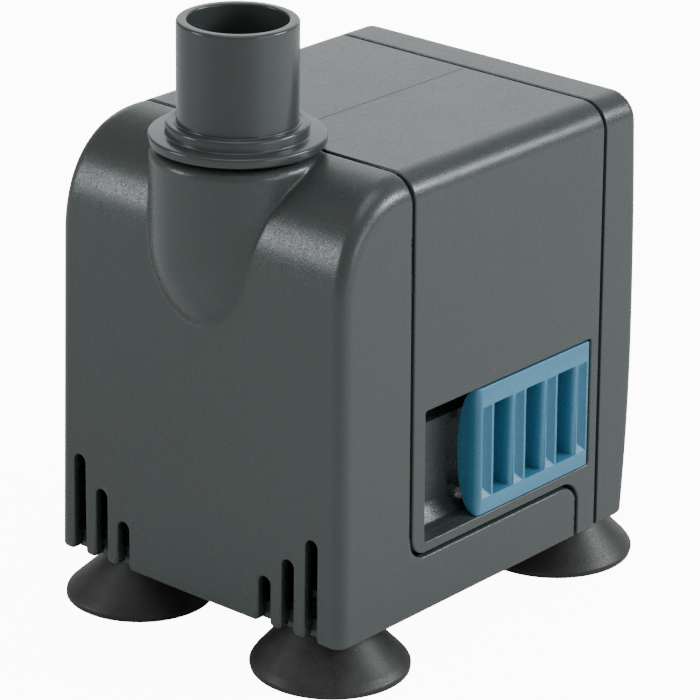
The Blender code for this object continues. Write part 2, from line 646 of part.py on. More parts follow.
def make_potting_resin(datum):
    """The resin that seals the back of the motor compartment."""
    low_half, low_z, _ = COMPARTMENT_LOW
    high_half, step_z, high_z = COMPARTMENT_HIGH
    w, h = low_half - GAP, high_half - GAP
    outline = [(-w, low_z + GAP), (w, low_z + GAP), (w, step_z + GAP), (h, step_z + GAP)]
    outline += [(h, high_z - GAP), (-h, high_z - GAP), (-h, step_z + GAP), (-w, step_z + GAP)]
    return add_object("potting_resin", prism(outline, 38.6 * MM, 43.5 * MM, "Y"), parent=datum)


# Suction cups

def cup_profile(knob):
    """Bell, hub and stem; the front cups' stems end in a knob that snaps through the floor."""
    under = [(0, -3.2 * MM), (3.2 * MM, -3.5 * MM), (5.8 * MM, -4.7 * MM), (8.1 * MM, -FOOT_HEIGHT)]
    rim = [(CUP_RADIUS, -FOOT_HEIGHT), (CUP_RADIUS, -FOOT_HEIGHT + 0.6 * MM)]
    bell = [(7.6 * MM, -5.0 * MM), (6.1 * MM, -3.6 * MM), (4.9 * MM, -2.2 * MM), (4.3 * MM, -1.1 * MM)]
    hub = [(4.2 * MM, -GAP), (STEM_RADIUS, -GAP)]
    if not knob:
        return under + rim + bell + hub + [(STEM_RADIUS, 4.4 * MM), (0, 4.4 * MM)]
    floor = WALL + GAP
    head = [(STEM_RADIUS, floor), (2 * MM, floor + 0.1 * MM), (1.9 * MM, floor + 0.8 * MM)]
    return under + rim + bell + hub + head + [(1.1 * MM, floor + 1.5 * MM), (0, floor + 1.6 * MM)]


def make_suction_cups(datum):
    for end, y, knob in (("front", CUP_FRONT_Y, True), ("rear", CUP_REAR_Y, False)):
        for side, x in (("left", -CUP_X), ("right", CUP_X)):
            add_object(f"suction_cup_{end}_{side}", turned(cup_profile(knob)), (x, y, 0), datum)


MATERIALS = {
    "body_plastic": ((0.085, 0.095, 0.093), 0.45, 0.0),
    "slider_plastic": ((0.11, 0.30, 0.46), 0.35, 0.0),
    "cup_rubber": ((0.02, 0.019, 0.018), 0.55, 0.0),
    "seal_rubber": ((0.015, 0.015, 0.015), 0.6, 0.0),
    "chamber_plastic": ((0.05, 0.055, 0.055), 0.4, 0.0),
    "impeller_plastic": ((0.55, 0.57, 0.58), 0.4, 0.0),
    "ferrite": ((0.03, 0.03, 0.032), 0.6, 0.1),
    "ceramic": ((0.82, 0.81, 0.78), 0.2, 0.0),
    "core_steel": ((0.35, 0.35, 0.36), 0.4, 0.9),
    "winding_copper": ((0.60, 0.23, 0.09), 0.35, 0.9),
    "bobbin_plastic": ((0.75, 0.72, 0.62), 0.5, 0.0),
    "tinned_pin": ((0.72, 0.72, 0.70), 0.3, 1.0),
    "resin": ((0.04, 0.035, 0.03), 0.3, 0.0),
}

WEARS = {
    "body_plastic": ("motor_housing", "front_cover", "rear_cover", "outlet_nozzle"),
    "slider_plastic": ("flow_slider",),
    "cup_rubber": tuple(f"suction_cup_{end}_{side}" for end in ("front", "rear") for side in ("left", "right")),
    "seal_rubber": ("nozzle_seal", "chamber_seal", "front_bush", "rear_bush", "cord_gland"),
    "chamber_plastic": ("volute_casing",),
    "impeller_plastic": ("impeller",),
    "ferrite": ("rotor_magnet",),
    "ceramic": ("rotor_shaft", "front_thrust_washer", "rear_thrust_washer"),
    "core_steel": ("stator_core",),
    "winding_copper": ("coil_winding",),
    "bobbin_plastic": ("coil_bobbin",),
    "tinned_pin": ("terminal_pin_left", "terminal_pin_right"),
    "resin": ("potting_resin",),
}


def dress_parts():
    for name, values in MATERIALS.items():
        finish = material(name, *values)
        for node in WEARS[name]:
            bpy.data.objects[node].data.materials.append(finish)


def main():
    clear_scene()
    datum = add_empty("pump_datum", DATUM)
    spindle = add_empty("rotor_axis", (0, 0, AXIS_Z), datum)
    outlet = add_empty("outlet_axis", (0, OUTLET_Y, 0), datum)
    slide = add_empty("slider_rest", (0, SLIDER_Y[0], 0), datum)
    make_motor_housing(datum)
    make_rear_cover(datum)
    make_front_cover(datum)
    make_cord_gland(datum)
    make_outlet_nozzle(outlet)
    make_nozzle_seal(outlet)
    make_flow_slider(slide, SLIDER_Y[0])
    make_volute_casing(datum)
    make_chamber_seal(datum)
    make_impeller(spindle)
    make_rotor_magnet(spindle)
    make_washers(spindle)
    make_rotor_shaft(datum)
    make_bushes(datum)
    make_stator_core(datum)
    make_coil_bobbin(datum)
    make_terminal_pins(datum)
    make_coil_winding(datum)
    make_potting_resin(datum)
    make_suction_cups(datum)
    dress_parts()


main()
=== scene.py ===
# %% [markdown]
# # A small fountain pump
#
# The pump is a box of grey plastic with an upright hose tube, a blue flow slider in one side and
# four suction cups. Its mouldings, motor parts and joints come ready from the frame, at their real
# size. This lesson gives each visible moulding its fine surface and each piece its finish.

# %% Load the frame
import math

import bmesh
import bpy
import numpy as np
from mathutils import Matrix, Vector


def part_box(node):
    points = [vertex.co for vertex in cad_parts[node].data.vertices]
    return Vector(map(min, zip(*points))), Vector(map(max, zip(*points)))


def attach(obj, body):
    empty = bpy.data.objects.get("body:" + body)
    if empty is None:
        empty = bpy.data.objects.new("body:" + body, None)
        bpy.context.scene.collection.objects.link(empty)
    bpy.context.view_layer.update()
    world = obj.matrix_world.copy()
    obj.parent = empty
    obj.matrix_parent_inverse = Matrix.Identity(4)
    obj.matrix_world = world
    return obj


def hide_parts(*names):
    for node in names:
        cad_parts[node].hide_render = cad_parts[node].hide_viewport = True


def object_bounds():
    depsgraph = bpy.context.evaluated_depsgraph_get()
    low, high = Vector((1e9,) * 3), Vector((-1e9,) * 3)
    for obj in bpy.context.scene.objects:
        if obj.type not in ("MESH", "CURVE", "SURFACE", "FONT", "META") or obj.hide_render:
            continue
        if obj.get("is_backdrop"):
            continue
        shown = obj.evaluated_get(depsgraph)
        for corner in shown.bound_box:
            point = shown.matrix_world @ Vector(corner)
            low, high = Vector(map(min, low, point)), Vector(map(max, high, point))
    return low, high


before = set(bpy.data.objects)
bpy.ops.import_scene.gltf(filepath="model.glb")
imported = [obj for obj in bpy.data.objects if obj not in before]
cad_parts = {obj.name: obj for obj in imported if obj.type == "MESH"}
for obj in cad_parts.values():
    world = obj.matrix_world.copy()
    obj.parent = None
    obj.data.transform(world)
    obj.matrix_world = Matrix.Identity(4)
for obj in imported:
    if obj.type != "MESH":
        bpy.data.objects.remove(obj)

cad_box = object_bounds()
print("CAD box in mm:", [[round(1000 * c, 1) for c in corner] for corner in cad_box])

# %% [markdown]
# Moulders draw a part from one datum, so all shapes below are in millimetres from the body's own
# datum: x = 0 on the mid-plane, y = 0 on the front face and z = 0 under the body. The frame says
# where that datum lies: the outlet's axis fixes x and y, and the underside of the rear cover fixes z.

# %% Datum and driving sizes
MM = 0.001
OUTLET_Y = 6.27
nozzle_low, nozzle_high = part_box("outlet_nozzle")
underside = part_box("rear_cover")[0].z
DATUM = np.array([
    (nozzle_low.x + nozzle_high.x) / 2,
    (nozzle_low.y + nozzle_high.y) / 2 - OUTLET_Y * MM,
    underside,
])


def body_box(node):
    """A CAD node's lowest and highest corners in millimetres from the datum."""
    return [(np.array(corner) - DATUM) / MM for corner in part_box(node)]


HEIGHT = body_box("motor_housing")[1][2]
DEPTH = body_box("rear_cover")[1][1]
HALF_BASE = body_box("front_cover")[1][0] + 0.10
HALF_TOP = HALF_BASE - 0.67
BASE = -0.15
FRONT_LEAN = 0.33
FRONT_SEAM, REAR_SEAM, SEAM = 11.14, 43.97, 0.44
CURVE_HEIGHT, CURVE_POWER = 13.0, 2.25
CURVE_BASE = HEIGHT - CURVE_HEIGHT
EDGE_FILLET, TOP_FILLET = 1.50, 3.14
TRAY_TOP, TRAY_END, TRAY_CORNER, TRAY_ROUND = 6.32, 40.18, 2.6, 2.4
BOSS_RADIUS, BOSS_WIDEST, BOSS_TIP = 9.45, 40.5, 12.25
AXIS_Z = (body_box("rotor_shaft")[0][2] + body_box("rotor_shaft")[1][2]) / 2
print("body", round(2 * HALF_BASE, 2), "x", round(DEPTH, 2), "x", round(HEIGHT, 2), "mm")

# %% [markdown]
# Every new piece is a set of points worked out with numpy and joined by faces. A few small helpers
# do that: one numbers the quads of a grid, one rounds the corners of an outline, one spins a
# profile, one carries an outline through a thickness, and one makes the object. Points that fall
# together are merged, and the normals are turned outwards.

# %% Mesh helpers
def grid_quads(rows, cols, wrap_rows=False, wrap_cols=False):
    """Corner numbers of the quads between neighbouring points of a rows by cols grid."""
    i = np.arange(rows if wrap_rows else rows - 1)[:, None]
    j = np.arange(cols if wrap_cols else cols - 1)[None, :]
    down, right = (i + 1) % rows, (j + 1) % cols
    return np.stack([i * cols + j, i * cols + right, down * cols + right, down * cols + j], -1).reshape(-1, 4)


def make_piece(name, parts, sharp=35.0):
    """Joins (points in mm, faces) parts into one mesh object, placed from the datum in metres."""
    points, faces, start = [], [], 0
    for part_points, part_faces in parts:
        points.append(np.asarray(part_points, float).reshape(-1, 3))
        faces += [[int(c) + start for c in face] for face in part_faces]
        start += len(points[-1])
    mesh = bpy.data.meshes.new(name)
    mesh.from_pydata(np.concatenate(points) * MM + DATUM, [], faces)
    bm = bmesh.new()
    bm.from_mesh(mesh)
    bmesh.ops.remove_doubles(bm, verts=bm.verts, dist=2e-7)
    bmesh.ops.recalc_face_normals(bm, faces=bm.faces)
    bm.to_mesh(mesh)
    bm.free()
    mesh.shade_smooth()
    mesh.set_sharp_from_angle(angle=math.radians(sharp))
    piece = bpy.data.objects.new(name, mesh)
    bpy.context.scene.collection.objects.link(piece)
    return piece


def soften(corners, closed=True, steps=5):
    """Rounds an outline: each (u, v, radius) corner becomes an arc that touches both of its sides."""
    outline = []
    count = len(corners)
    for i, (u, v, radius) in enumerate(corners):
        if radius <= 0 or (not closed and i in (0, count - 1)):
            outline.append((u, v))
            continue
        here = np.array([u, v])
        before = np.array(corners[i - 1][:2]) - here
        after = np.array(corners[(i + 1) % count][:2]) - here
        before, after = before / np.linalg.norm(before), after / np.linalg.norm(after)
        half = math.acos(np.clip(before @ after, -1, 1)) / 2
        middle = (before + after) / np.linalg.norm(before + after)
        centre = here + middle * radius / math.sin(half)
        start = here + before * radius / math.tan(half) - centre
        stop = here + after * radius / math.tan(half) - centre
        share = np.linspace(0, 1, steps + 1)[:, None]
        sweep = math.pi - 2 * half
        arc = (np.sin((1 - share) * sweep) * start + np.sin(share * sweep) * stop) / math.sin(sweep)
        outline += [tuple(p) for p in centre + arc]
    return np.array(outline)


def turned(profile, centre, axis="z", steps=96, closed=True):
    """Spins a profile of (radius, height) points round an upright or a lengthwise axis."""
    turn = np.linspace(0, 2 * math.pi, steps, endpoint=False)[None, :]
    radius, height = profile[:, :1], profile[:, 1:] + 0 * turn
    across, other = radius * np.cos(turn), radius * np.sin(turn)
    stack = [across, other, height] if axis == "z" else [across, height, other]
    points = np.stack(stack, -1) + np.asarray(centre, float)
    return points, grid_quads(len(profile), steps, wrap_rows=closed, wrap_cols=True)


def outward(outline):
    """Unit normals of a closed outline, pointing out of it."""
    along = np.roll(outline, -1, axis=0) - np.roll(outline, 1, axis=0)
    normal = np.stack([along[:, 1], -along[:, 0]], -1)
    normal /= np.linalg.norm(normal, axis=1, keepdims=True)
    x, y = outline.T
    area = np.sum(x * np.roll(y, -1) - y * np.roll(x, -1))
    return normal if area > 0 else -normal


def carried(outline, inset, level, axis):
    """Copies of an outline along an axis, each at its level and drawn in by its inset; both ends closed."""
    flat = outline[None] - np.asarray(inset, float)[:, None, None] * outward(outline)[None]
    w = np.broadcast_to(np.asarray(level, float)[:, None], flat.shape[:2])
    u, v = flat[..., 0], flat[..., 1]
    points = np.stack({"x": (w, u, v), "y": (u, w, v), "z": (u, v, w)}[axis], -1)
    rows, cols = w.shape
    faces = [list(f) for f in grid_quads(rows, cols, wrap_cols=True)]
    return points, faces + [list(range(cols)), list(range((rows - 1) * cols, rows * cols))]


def prism(outline, low, high, axis):
    """The same outline at two levels, closed into a solid with sharp ends."""
    return carried(outline, [0, 0], [low, high], axis)


def soft_prism(outline, low, high, axis, edge=0.2, steps=4):
    """A prism whose ends are drawn in by a quarter circle, then by a narrow strip that keeps them flat."""
    turn = np.linspace(0, math.pi / 2, steps + 1)
    start, stop = edge * (1 - np.sin(turn)), edge * (1 - np.cos(turn))
    inset = np.concatenate([[edge + 0.03], start, stop, [edge + 0.03]])
    level = np.concatenate([[low], low + stop, high - start, [high]])
    return carried(outline, inset, level, axis)


def rectangle(u, v, radius, steps=5):
    """The outline of a rectangle between two values of u and of v, with round corners."""
    corners = [(u[0], v[0], radius), (u[1], v[0], radius), (u[1], v[1], radius), (u[0], v[1], radius)]
    return soften(corners, steps=steps)


def add_modifier(piece, kind, **values):
    """Puts a modifier on a piece and sets its properties."""
    modifier = piece.modifiers.new(kind.title(), kind)
    for name, value in values.items():
        setattr(modifier, name, value)
    return modifier


def settle_normals(piece):
    """Lets the large flat faces set the shading, so that they look flat right up to their rounded edges."""
    add_modifier(piece, "WEIGHTED_NORMAL", weight=60, keep_sharp=True, mode="FACE_AREA")


def apply_modifiers(piece):
    """Replaces the mesh by its finished shape, so that later steps see plain geometry."""
    graph = bpy.context.evaluated_depsgraph_get()
    finished = bpy.data.meshes.new_from_object(piece.evaluated_get(graph))
    piece.modifiers.clear()
    piece.data = finished
    return piece


def cut_out(piece, cutter_parts):
    """Cuts closed shapes out of a closed piece, and removes the cutter afterwards."""
    cutter = make_piece(piece.name + "_cutter", cutter_parts)
    add_modifier(piece, "BOOLEAN", operation="DIFFERENCE", solver="MANIFOLD", object=cutter)
    apply_modifiers(piece)
    bpy.data.objects.remove(cutter)
    return piece


def report(piece):
    """Prints how many faces a piece has, and its size."""
    faces = piece.data.polygons
    size = np.array(piece.dimensions) / MM
    print(f"{piece.name}: {len(faces)} faces, {size[0]:.1f} x {size[1]:.1f} x {size[2]:.1f} mm")
    return piece

# %% [markdown]
# ## The body's outer form
#
# The three grey mouldings share one outer form: two drafted sides, and a front that curves back
# into the top along a quarter of a slightly squared ellipse, with a fillet that grows from the
# upright front edge to the top edge. It could be lofted from sections, but the outlet boss has to
# grow out of it with a soft joint. So the form is written as gaps: functions of a point that are
# zero on a surface, negative inside and positive outside, which combine with plain formulas.

# %% Gaps of the outer form
def half_width(z):
    """The drafted side's distance from the mid-plane: it loses 0.67 mm from the base to the top."""
    return HALF_BASE + (HALF_TOP - HALF_BASE) * z / HEIGHT


def front_gap(y, z):
    """Gap to the leaning front below, and above it to a superellipse of power 2.25, over its slope."""
    reach = FRONT_SEAM + FRONT_LEAN * (1 - z / HEIGHT)
    back = np.maximum(FRONT_SEAM - y, 0) / reach
    up = np.maximum(z - CURVE_BASE, 0) / CURVE_HEIGHT
    size = (back**CURVE_POWER + up**CURVE_POWER) ** (1 / CURVE_POWER) + 1e-9
    power = CURVE_POWER - 1
    slope = np.sqrt(((back / size) ** power / reach) ** 2 + ((up / size) ** power / CURVE_HEIGHT) ** 2)
    return (size - 1) / (slope + 1e-6)


def round_join(a, b, radius):
    """Gap to the corner where two surfaces meet outwards, rounded by this radius."""
    far_a, far_b = np.maximum(a + radius, 0), np.maximum(b + radius, 0)
    return np.minimum(np.maximum(a, b), -radius) + np.sqrt(far_a**2 + far_b**2)


def blend_join(a, b, width):
    """Gap to two shapes in one, with a fillet about this wide in the inner corner between them."""
    near = np.maximum(width - np.abs(a - b), 0) / width
    return np.minimum(a, b) - near**2 * width / 4


def form_gap(x, y, z):
    """Gap to the box without its boss: side and front joined by a fillet that grows towards the top edge."""
    fillet = EDGE_FILLET + (TOP_FILLET - EDGE_FILLET) * np.clip(y / FRONT_SEAM, 0, 1) ** 1.2
    return round_join(np.abs(x) - half_width(z), front_gap(y, z), fillet)


BOSS_TOP, BOSS_EDGE, BOSS_BLEND = HEIGHT + 0.12, 1.0, 0.26


def boss_gap(x, y, z):
    """Gap to the outlet boss: a cylinder that ends below in half an ellipsoid, and a soft top edge."""
    radius = np.sqrt(x**2 + (y - OUTLET_Y) ** 2)
    down = np.maximum(BOSS_WIDEST - z, 0)
    size = np.sqrt((radius / BOSS_RADIUS) ** 2 + (down / BOSS_TIP) ** 2) + 1e-9
    slope = np.sqrt((radius / BOSS_RADIUS**2) ** 2 + (down / BOSS_TIP**2) ** 2) / size + 1e-6
    return round_join((size - 1) / slope, z - BOSS_TOP, BOSS_EDGE)


def cover_gap(x, y, z):
    """Gap to the whole front: the box and its boss in one."""
    return blend_join(form_gap(x, y, z), boss_gap(x, y, z), BOSS_BLEND)


print("front face at mid height:", round(float(-front_gap(0.0, 25.0)), 3), "mm behind y = 0")

# %% [markdown]
# The front cover's skin is one grid. Its rows are level cuts up to the foot of the front curve,
# and above that they fan round a line on the seam, up to the seam itself. Within a row, a point
# is found on each ray of a half turn round a centre inside the cut, by halving the stretch where
# the gap changes sign. Then each row is spaced again, closer where it bends, so that fillets and
# the foot of the boss get enough points while the flats stay light.

# %% Front cover rows
COVER_ROWS, COVER_COLUMNS, STRIP_ROWS = 130, 290, 9
HALVINGS = 34
TURN_COST = 1.6


def row_points(back_z, lift, rays):
    """Points where rays in a row's plane leave the cover; lift is the plane's tilt above level."""
    ahead = np.minimum((FRONT_SEAM - OUTLET_Y) / np.maximum(np.cos(lift), 1e-3), 11.0)
    start_y, start_z = FRONT_SEAM - ahead * np.cos(lift), back_z + ahead * np.sin(lift)
    end = -np.arctan2(ahead, half_width(back_z))
    turn = end[:, None] + (math.pi - 2 * end)[:, None] * rays[None, :]
    side, out = np.cos(turn), np.sin(turn)
    near, far = np.zeros_like(turn), np.full_like(turn, 45.0)
    for _ in range(HALVINGS):
        middle = (near + far) / 2
        x, y, z = ray_place(middle, side, out, start_y, start_z, lift)
        inside = cover_gap(x, y, z) < 0
        near, far = np.where(inside, middle, near), np.where(inside, far, middle)
    return np.stack(ray_place(near, side, out, start_y, start_z, lift), -1)


def ray_place(length, side, out, start_y, start_z, lift):
    """The place that rays reach at a length: sideways by one share of it, forwards and up by the other."""
    y = start_y[:, None] - length * out * np.cos(lift)[:, None]
    z = start_z[:, None] + length * out * np.sin(lift)[:, None]
    return length * side, y, z


def bending(path):
    """How far a path has run at each point, counting its turns as extra length."""
    step = np.diff(path, axis=-2)
    length = np.linalg.norm(step, axis=-1)
    tangent = step / np.maximum(length[..., None], 1e-9)
    turn = np.linalg.norm(np.diff(tangent, axis=-2), axis=-1)
    cost = length.copy()
    cost[..., 1:] += TURN_COST * turn
    return np.concatenate([np.zeros_like(cost[..., :1]), np.cumsum(cost, axis=-1)], -1)


def respace(path, count):
    """The same path with this many points, spread evenly over its bending."""
    run = bending(path)
    wanted = np.linspace(0, run[-1], count)
    return np.stack([np.interp(wanted, run, path[:, k]) for k in range(3)], -1)


STRIP_TOP = TRAY_TOP + TRAY_CORNER
strip_rows = np.linspace(BASE, STRIP_TOP, STRIP_ROWS)
level_cuts, fanned_cuts = 400, 500
upright = np.concatenate([np.linspace(STRIP_TOP, CURVE_BASE, level_cuts), np.full(fanned_cuts, CURVE_BASE)])
lifts = np.concatenate([np.zeros(level_cuts), np.linspace(0, math.pi / 2, fanned_cuts + 1)[1:]])
cuts = np.arange(level_cuts + fanned_cuts)
centre_line = row_points(upright, lifts, np.array([0.5]))[:, 0]
side_line = row_points(upright, lifts, np.array([0.33]))[:, 0]
run = bending(centre_line) + bending(side_line)
chosen = np.interp(np.linspace(0, run[-1], COVER_ROWS), run, cuts)
row_z = np.concatenate([strip_rows[:-1], np.interp(chosen, cuts, upright)])
row_lift = np.concatenate([np.zeros(STRIP_ROWS - 1), np.interp(chosen, cuts, lifts)])
fine_rows = row_points(row_z, row_lift, np.linspace(0, 1, 1500))
cover_grid = np.stack([respace(row, COVER_COLUMNS) for row in fine_rows])
print("front cover grid:", cover_grid.shape[0], "rows of", cover_grid.shape[1])

# %% [markdown]
# Below the motor the cover goes on as a low tray: a strip along each side with one hollow and one
# round corner, and a floor between them. The strips share their first column with the skin. All
# of it then gets its wall by Solidify, and Bevel takes the sharpness off the rim, as the mould's
# parting edge does.

# %% Front cover
COVER_WALL, COVER_RIM = 1.25, 0.22


def strip(side):
    """The low strip on one side, as columns along y and rows up to the tray's curved top edge."""
    turn = np.linspace(0, math.pi / 2, 7)
    start = FRONT_SEAM + TRAY_CORNER * (1 - np.cos(turn))
    start_top = STRIP_TOP - TRAY_CORNER * np.sin(turn)
    end = TRAY_END - TRAY_ROUND + TRAY_ROUND * np.sin(turn)
    end_top = TRAY_TOP - TRAY_ROUND + TRAY_ROUND * np.cos(turn)
    along = np.linspace(start[-1], end[0], 14)[1:-1]
    y = np.concatenate([start, along, end])
    top = np.concatenate([start_top, np.full(12, TRAY_TOP), end_top])
    z = BASE + np.linspace(0, 1, STRIP_ROWS)[:, None] * (top[None, :] - BASE)
    points = np.stack([side * half_width(z), np.broadcast_to(y, z.shape), z], -1)
    return points, grid_quads(*z.shape)


skin = (cover_grid, grid_quads(*cover_grid.shape[:2]))
cover = make_piece("front_cover_shell", [skin, strip(-1), strip(1)], sharp=180)


def face_out(piece):
    """Turns an open skin outwards: its highest faces have to look up."""
    faces = piece.data.polygons
    top = max(faces, key=lambda face: face.center.z)
    if top.normal.z < 0:
        piece.data.flip_normals()


face_out(cover)
add_modifier(cover, "SOLIDIFY", thickness=COVER_WALL * MM, offset=-1, use_even_offset=True,
             use_quality_normals=True)
add_modifier(cover, "BEVEL", width=COVER_RIM * MM, segments=2, limit_method="ANGLE",
             angle_limit=math.radians(62), use_clamp_overlap=False)
apply_modifiers(cover)
print("shell", len(cover.data.polygons), "faces")

# %% [markdown]
# Six slots let the water in at the foot of the cover. Each cutter is a narrow upright outline,
# round at the top, that flares over the last tenths of a millimetre towards the face: this leaves
# the slot with the same small round edge as the real moulding. Below, the outline opens along two
# arcs, which round the feet of the bars between the slots. The row sits a little left of the middle.

# %% Slots and outlet hole
SLOT_HALF, SLOT_FLARE, SLOT_FOOT, SLOT_SHIFT = 0.86, 0.14, 0.55, -0.42
SLOT_TOPS = {10.4: 5.4, 13.7: 8.35, 17.0: 11.6}
SOCKET_BORE, SOCKET_WALL = 6.8, 1.1


def slot_cutter(x, top):
    """An upright slot, round above and opening along arcs below, that widens a little at the front face."""
    crown = SLOT_HALF * 0.98
    upper = soften([(SLOT_HALF, BASE + 2, 0), (SLOT_HALF, top, crown), (-SLOT_HALF, top, crown),
                    (-SLOT_HALF, BASE + 2, 0)], closed=False, steps=8)
    turn = np.radians(np.linspace(0, 90, 7))
    foot_x = SLOT_HALF + SLOT_FOOT * (1 - np.cos(turn))
    foot_z = BASE + SLOT_FOOT * (1 - np.sin(turn))
    right = np.stack([foot_x, foot_z], -1)[::-1]
    left = np.stack([-foot_x, foot_z], -1)
    below = [(-foot_x[-1], -3), (foot_x[-1], -3)]
    outline = np.concatenate([below, right, upper, left]) + [x, 0]
    turn = np.linspace(0, math.pi / 2, 5)
    grown = np.concatenate([[0], SLOT_FLARE * (1 - np.cos(turn)), [SLOT_FLARE]])
    depth = np.concatenate([[2.9], SLOT_FLARE * (1 - np.sin(turn)), [-1.5]]) - 0.9 * FRONT_LEAN
    return carried(outline, -grown, depth, "y")


slots = [slot_cutter(side * x + SLOT_SHIFT, top) for x, top in SLOT_TOPS.items() for side in (-1, 1)]
outlet_hole = np.array([
    (0, 46), (SOCKET_BORE, 46), (SOCKET_BORE, BOSS_TOP - 0.3),
    (SOCKET_BORE + 0.35, BOSS_TOP + 0.05), (SOCKET_BORE + 0.35, 55), (0, 55),
])
cut_out(cover, slots + [turned(outlet_hole, (0, OUTLET_Y, 0))])
report(cover)

# %% [markdown]
# Behind the slots lies the tray's floor, which the front cups snap into, and inside the boss stands
# the socket that takes the nozzle. Both are one moulding with the cover. They are separate meshes
# here, because their hidden joints with the shell would only cost faces.

# %% Tray floor and outlet socket
CUP_X, CUP_FRONT_Y, CUP_REAR_Y = 13.10, 6.45, 46.90


def round_rod(radius, low, high, centre, axis, steps=48):
    """A plain closed cylinder, for holes."""
    profile = np.array([(0, low), (radius, low), (radius, high), (0, high)])
    return turned(profile, centre, axis, steps, closed=False)


floor_outline = rectangle((-19.4, 19.4), (1.35, TRAY_END - 0.1), 0.5)
cover_floor = make_piece("front_cover_floor", [soft_prism(floor_outline, BASE - 0.33, 1.7, "z", 0.15)])
holes = [round_rod(1.5, -1, 3, (side * CUP_X, CUP_FRONT_Y, 0), "z") for side in (-1, 1)]
cut_out(cover_floor, holes)
settle_normals(cover_floor)
apply_modifiers(cover_floor)
socket_out, socket_low, socket_high = SOCKET_BORE + SOCKET_WALL, 36, HEIGHT - 0.35
socket = soften([(SOCKET_BORE, socket_low, 0.3), (socket_out, socket_low, 0.3),
                 (socket_out, socket_high, 0.25), (SOCKET_BORE, socket_high, 0.25)])
cover_socket = make_piece("front_cover_socket", [turned(socket, (0, OUTLET_Y, 0))])
report(cover_floor)

# %% [markdown]
# The motor housing is a plain drafted box between the two covers. Its skin needs few points: one
# section with round top corners, carried from seam to seam and thickened. Three cuts shape it: the
# outline of the tray below with its hollow and its round corner, the side window, and the round
# notch that clears the outlet's socket. A last Bevel rounds the edges that those cuts leave.

# %% Motor housing shell
WINDOW_Y, WINDOW_Z = (13.64, 42.33), (7.95, 23.10)
HOUSING_Y = (FRONT_SEAM + SEAM, REAR_SEAM - SEAM / 2)


def arc(centre, radius, start, end, steps=10):
    """Points of an arc between two angles in degrees, both ends included."""
    turn = np.radians(np.linspace(start, end, steps + 1))
    return np.stack([centre[0] + radius * np.cos(turn), centre[1] + radius * np.sin(turn)], -1)


ring = soften([
    (-half_width(BASE), BASE, 0), (-half_width(HEIGHT), HEIGHT, TOP_FILLET),
    (half_width(HEIGHT), HEIGHT, TOP_FILLET), (half_width(BASE), BASE, 0),
], closed=False, steps=14)
along = np.linspace(*HOUSING_Y, 9)[:, None]
skin = np.stack(np.broadcast_arrays(ring[:, 0], along, ring[:, 1]), -1)
housing = make_piece("motor_housing_shell", [(skin, grid_quads(9, len(ring)))], sharp=180)
face_out(housing)
add_modifier(housing, "SOLIDIFY", thickness=1.6 * MM, offset=-1, use_even_offset=True)
apply_modifiers(housing)
hollow = arc((FRONT_SEAM + TRAY_CORNER, STRIP_TOP), TRAY_CORNER - SEAM, 270, 180)
round_end = arc((TRAY_END - TRAY_ROUND, TRAY_TOP - TRAY_ROUND), TRAY_ROUND + SEAM, 0, 90)
tray_region = np.concatenate([[(0, -5), (TRAY_END + SEAM, -5)], round_end, hollow, [(0, STRIP_TOP)]])
window = rectangle(WINDOW_Y, WINDOW_Z, 0.3)
notch = round_rod(8.3, 34.5, 60, (0, OUTLET_Y, 0), "z", 96)
cut_out(housing, [prism(tray_region, -30, 30, "x")])
cut_out(housing, [prism(window, 17, 30, "x")])
cut_out(housing, [notch])
add_modifier(housing, "BEVEL", width=0.2 * MM, segments=3, limit_method="ANGLE",
             angle_limit=math.radians(50), use_clamp_overlap=True)
settle_normals(housing)
apply_modifiers(housing)
report(housing)

# %% [markdown]
# Behind the window lies a recess with a baffle. Water enters through the baffle's hole and runs
# along a flat channel to the pump chamber in front. The block is cut from a solid like the real
# one is left by the mould's side core: recess, channel, the gap above the baffle, the hole with
# its bulging ends, and a groove above and below for the slider's tabs.

# %% Recess and baffle
def bulged_hole(y, z, bulge):
    """A rectangle whose upright ends bow outwards by this much."""
    half, middle = (z[1] - z[0]) / 2, (z[0] + z[1]) / 2
    radius = (half**2 + bulge**2) / (2 * bulge)
    sweep = math.degrees(math.asin(half / radius))
    right = arc((y[1] + bulge - radius, middle), radius, -sweep, sweep)
    left = arc((y[0] - bulge + radius, middle), radius, 180 - sweep, 180 + sweep)
    return np.concatenate([right, left])


low_z, high_z = WINDOW_Z[0] - 1.4, WINDOW_Z[1] + 1.2
BLOCK_BACK, CHANNEL_X, CHANNEL_Z, BAFFLE_FACE = 12.1, (12.9, 14.3), (8.35, 22.7), 16.45
block = np.array([
    (BLOCK_BACK, low_z), (half_width(low_z) - 1.5, low_z),
    (half_width(high_z) - 1.5, high_z), (BLOCK_BACK, high_z),
])
recess = make_piece("motor_housing_recess", [prism(block, 12.0, 43.7, "y")])
recess_cuts = {
    "window": (rectangle(WINDOW_Y, WINDOW_Z, 0.3), BAFFLE_FACE, 30),
    "channel": (rectangle((8, 41), CHANNEL_Z, 0.3), *CHANNEL_X),
    "gap above the baffle": (rectangle((14.5, 40), (19.2, 22.9), 0.2), 13.1, 16.5),
    "hole": (bulged_hole((22.8, 37.5), (9.3, 18.3), 0.75), 13.4, 16.5),
    "tab grooves": (rectangle((23.9, 39.3), (WINDOW_Z[0] - 0.8, WINDOW_Z[1] + 0.8), 0.1), 18.1, 19.5),
}
for outline, low, high in recess_cuts.values():
    cut_out(recess, [prism(outline, low, high, "x")])
add_modifier(recess, "BEVEL", width=0.14 * MM, segments=2, limit_method="ANGLE",
             angle_limit=math.radians(50), use_clamp_overlap=True)
settle_normals(recess)
apply_modifiers(recess)
report(recess)

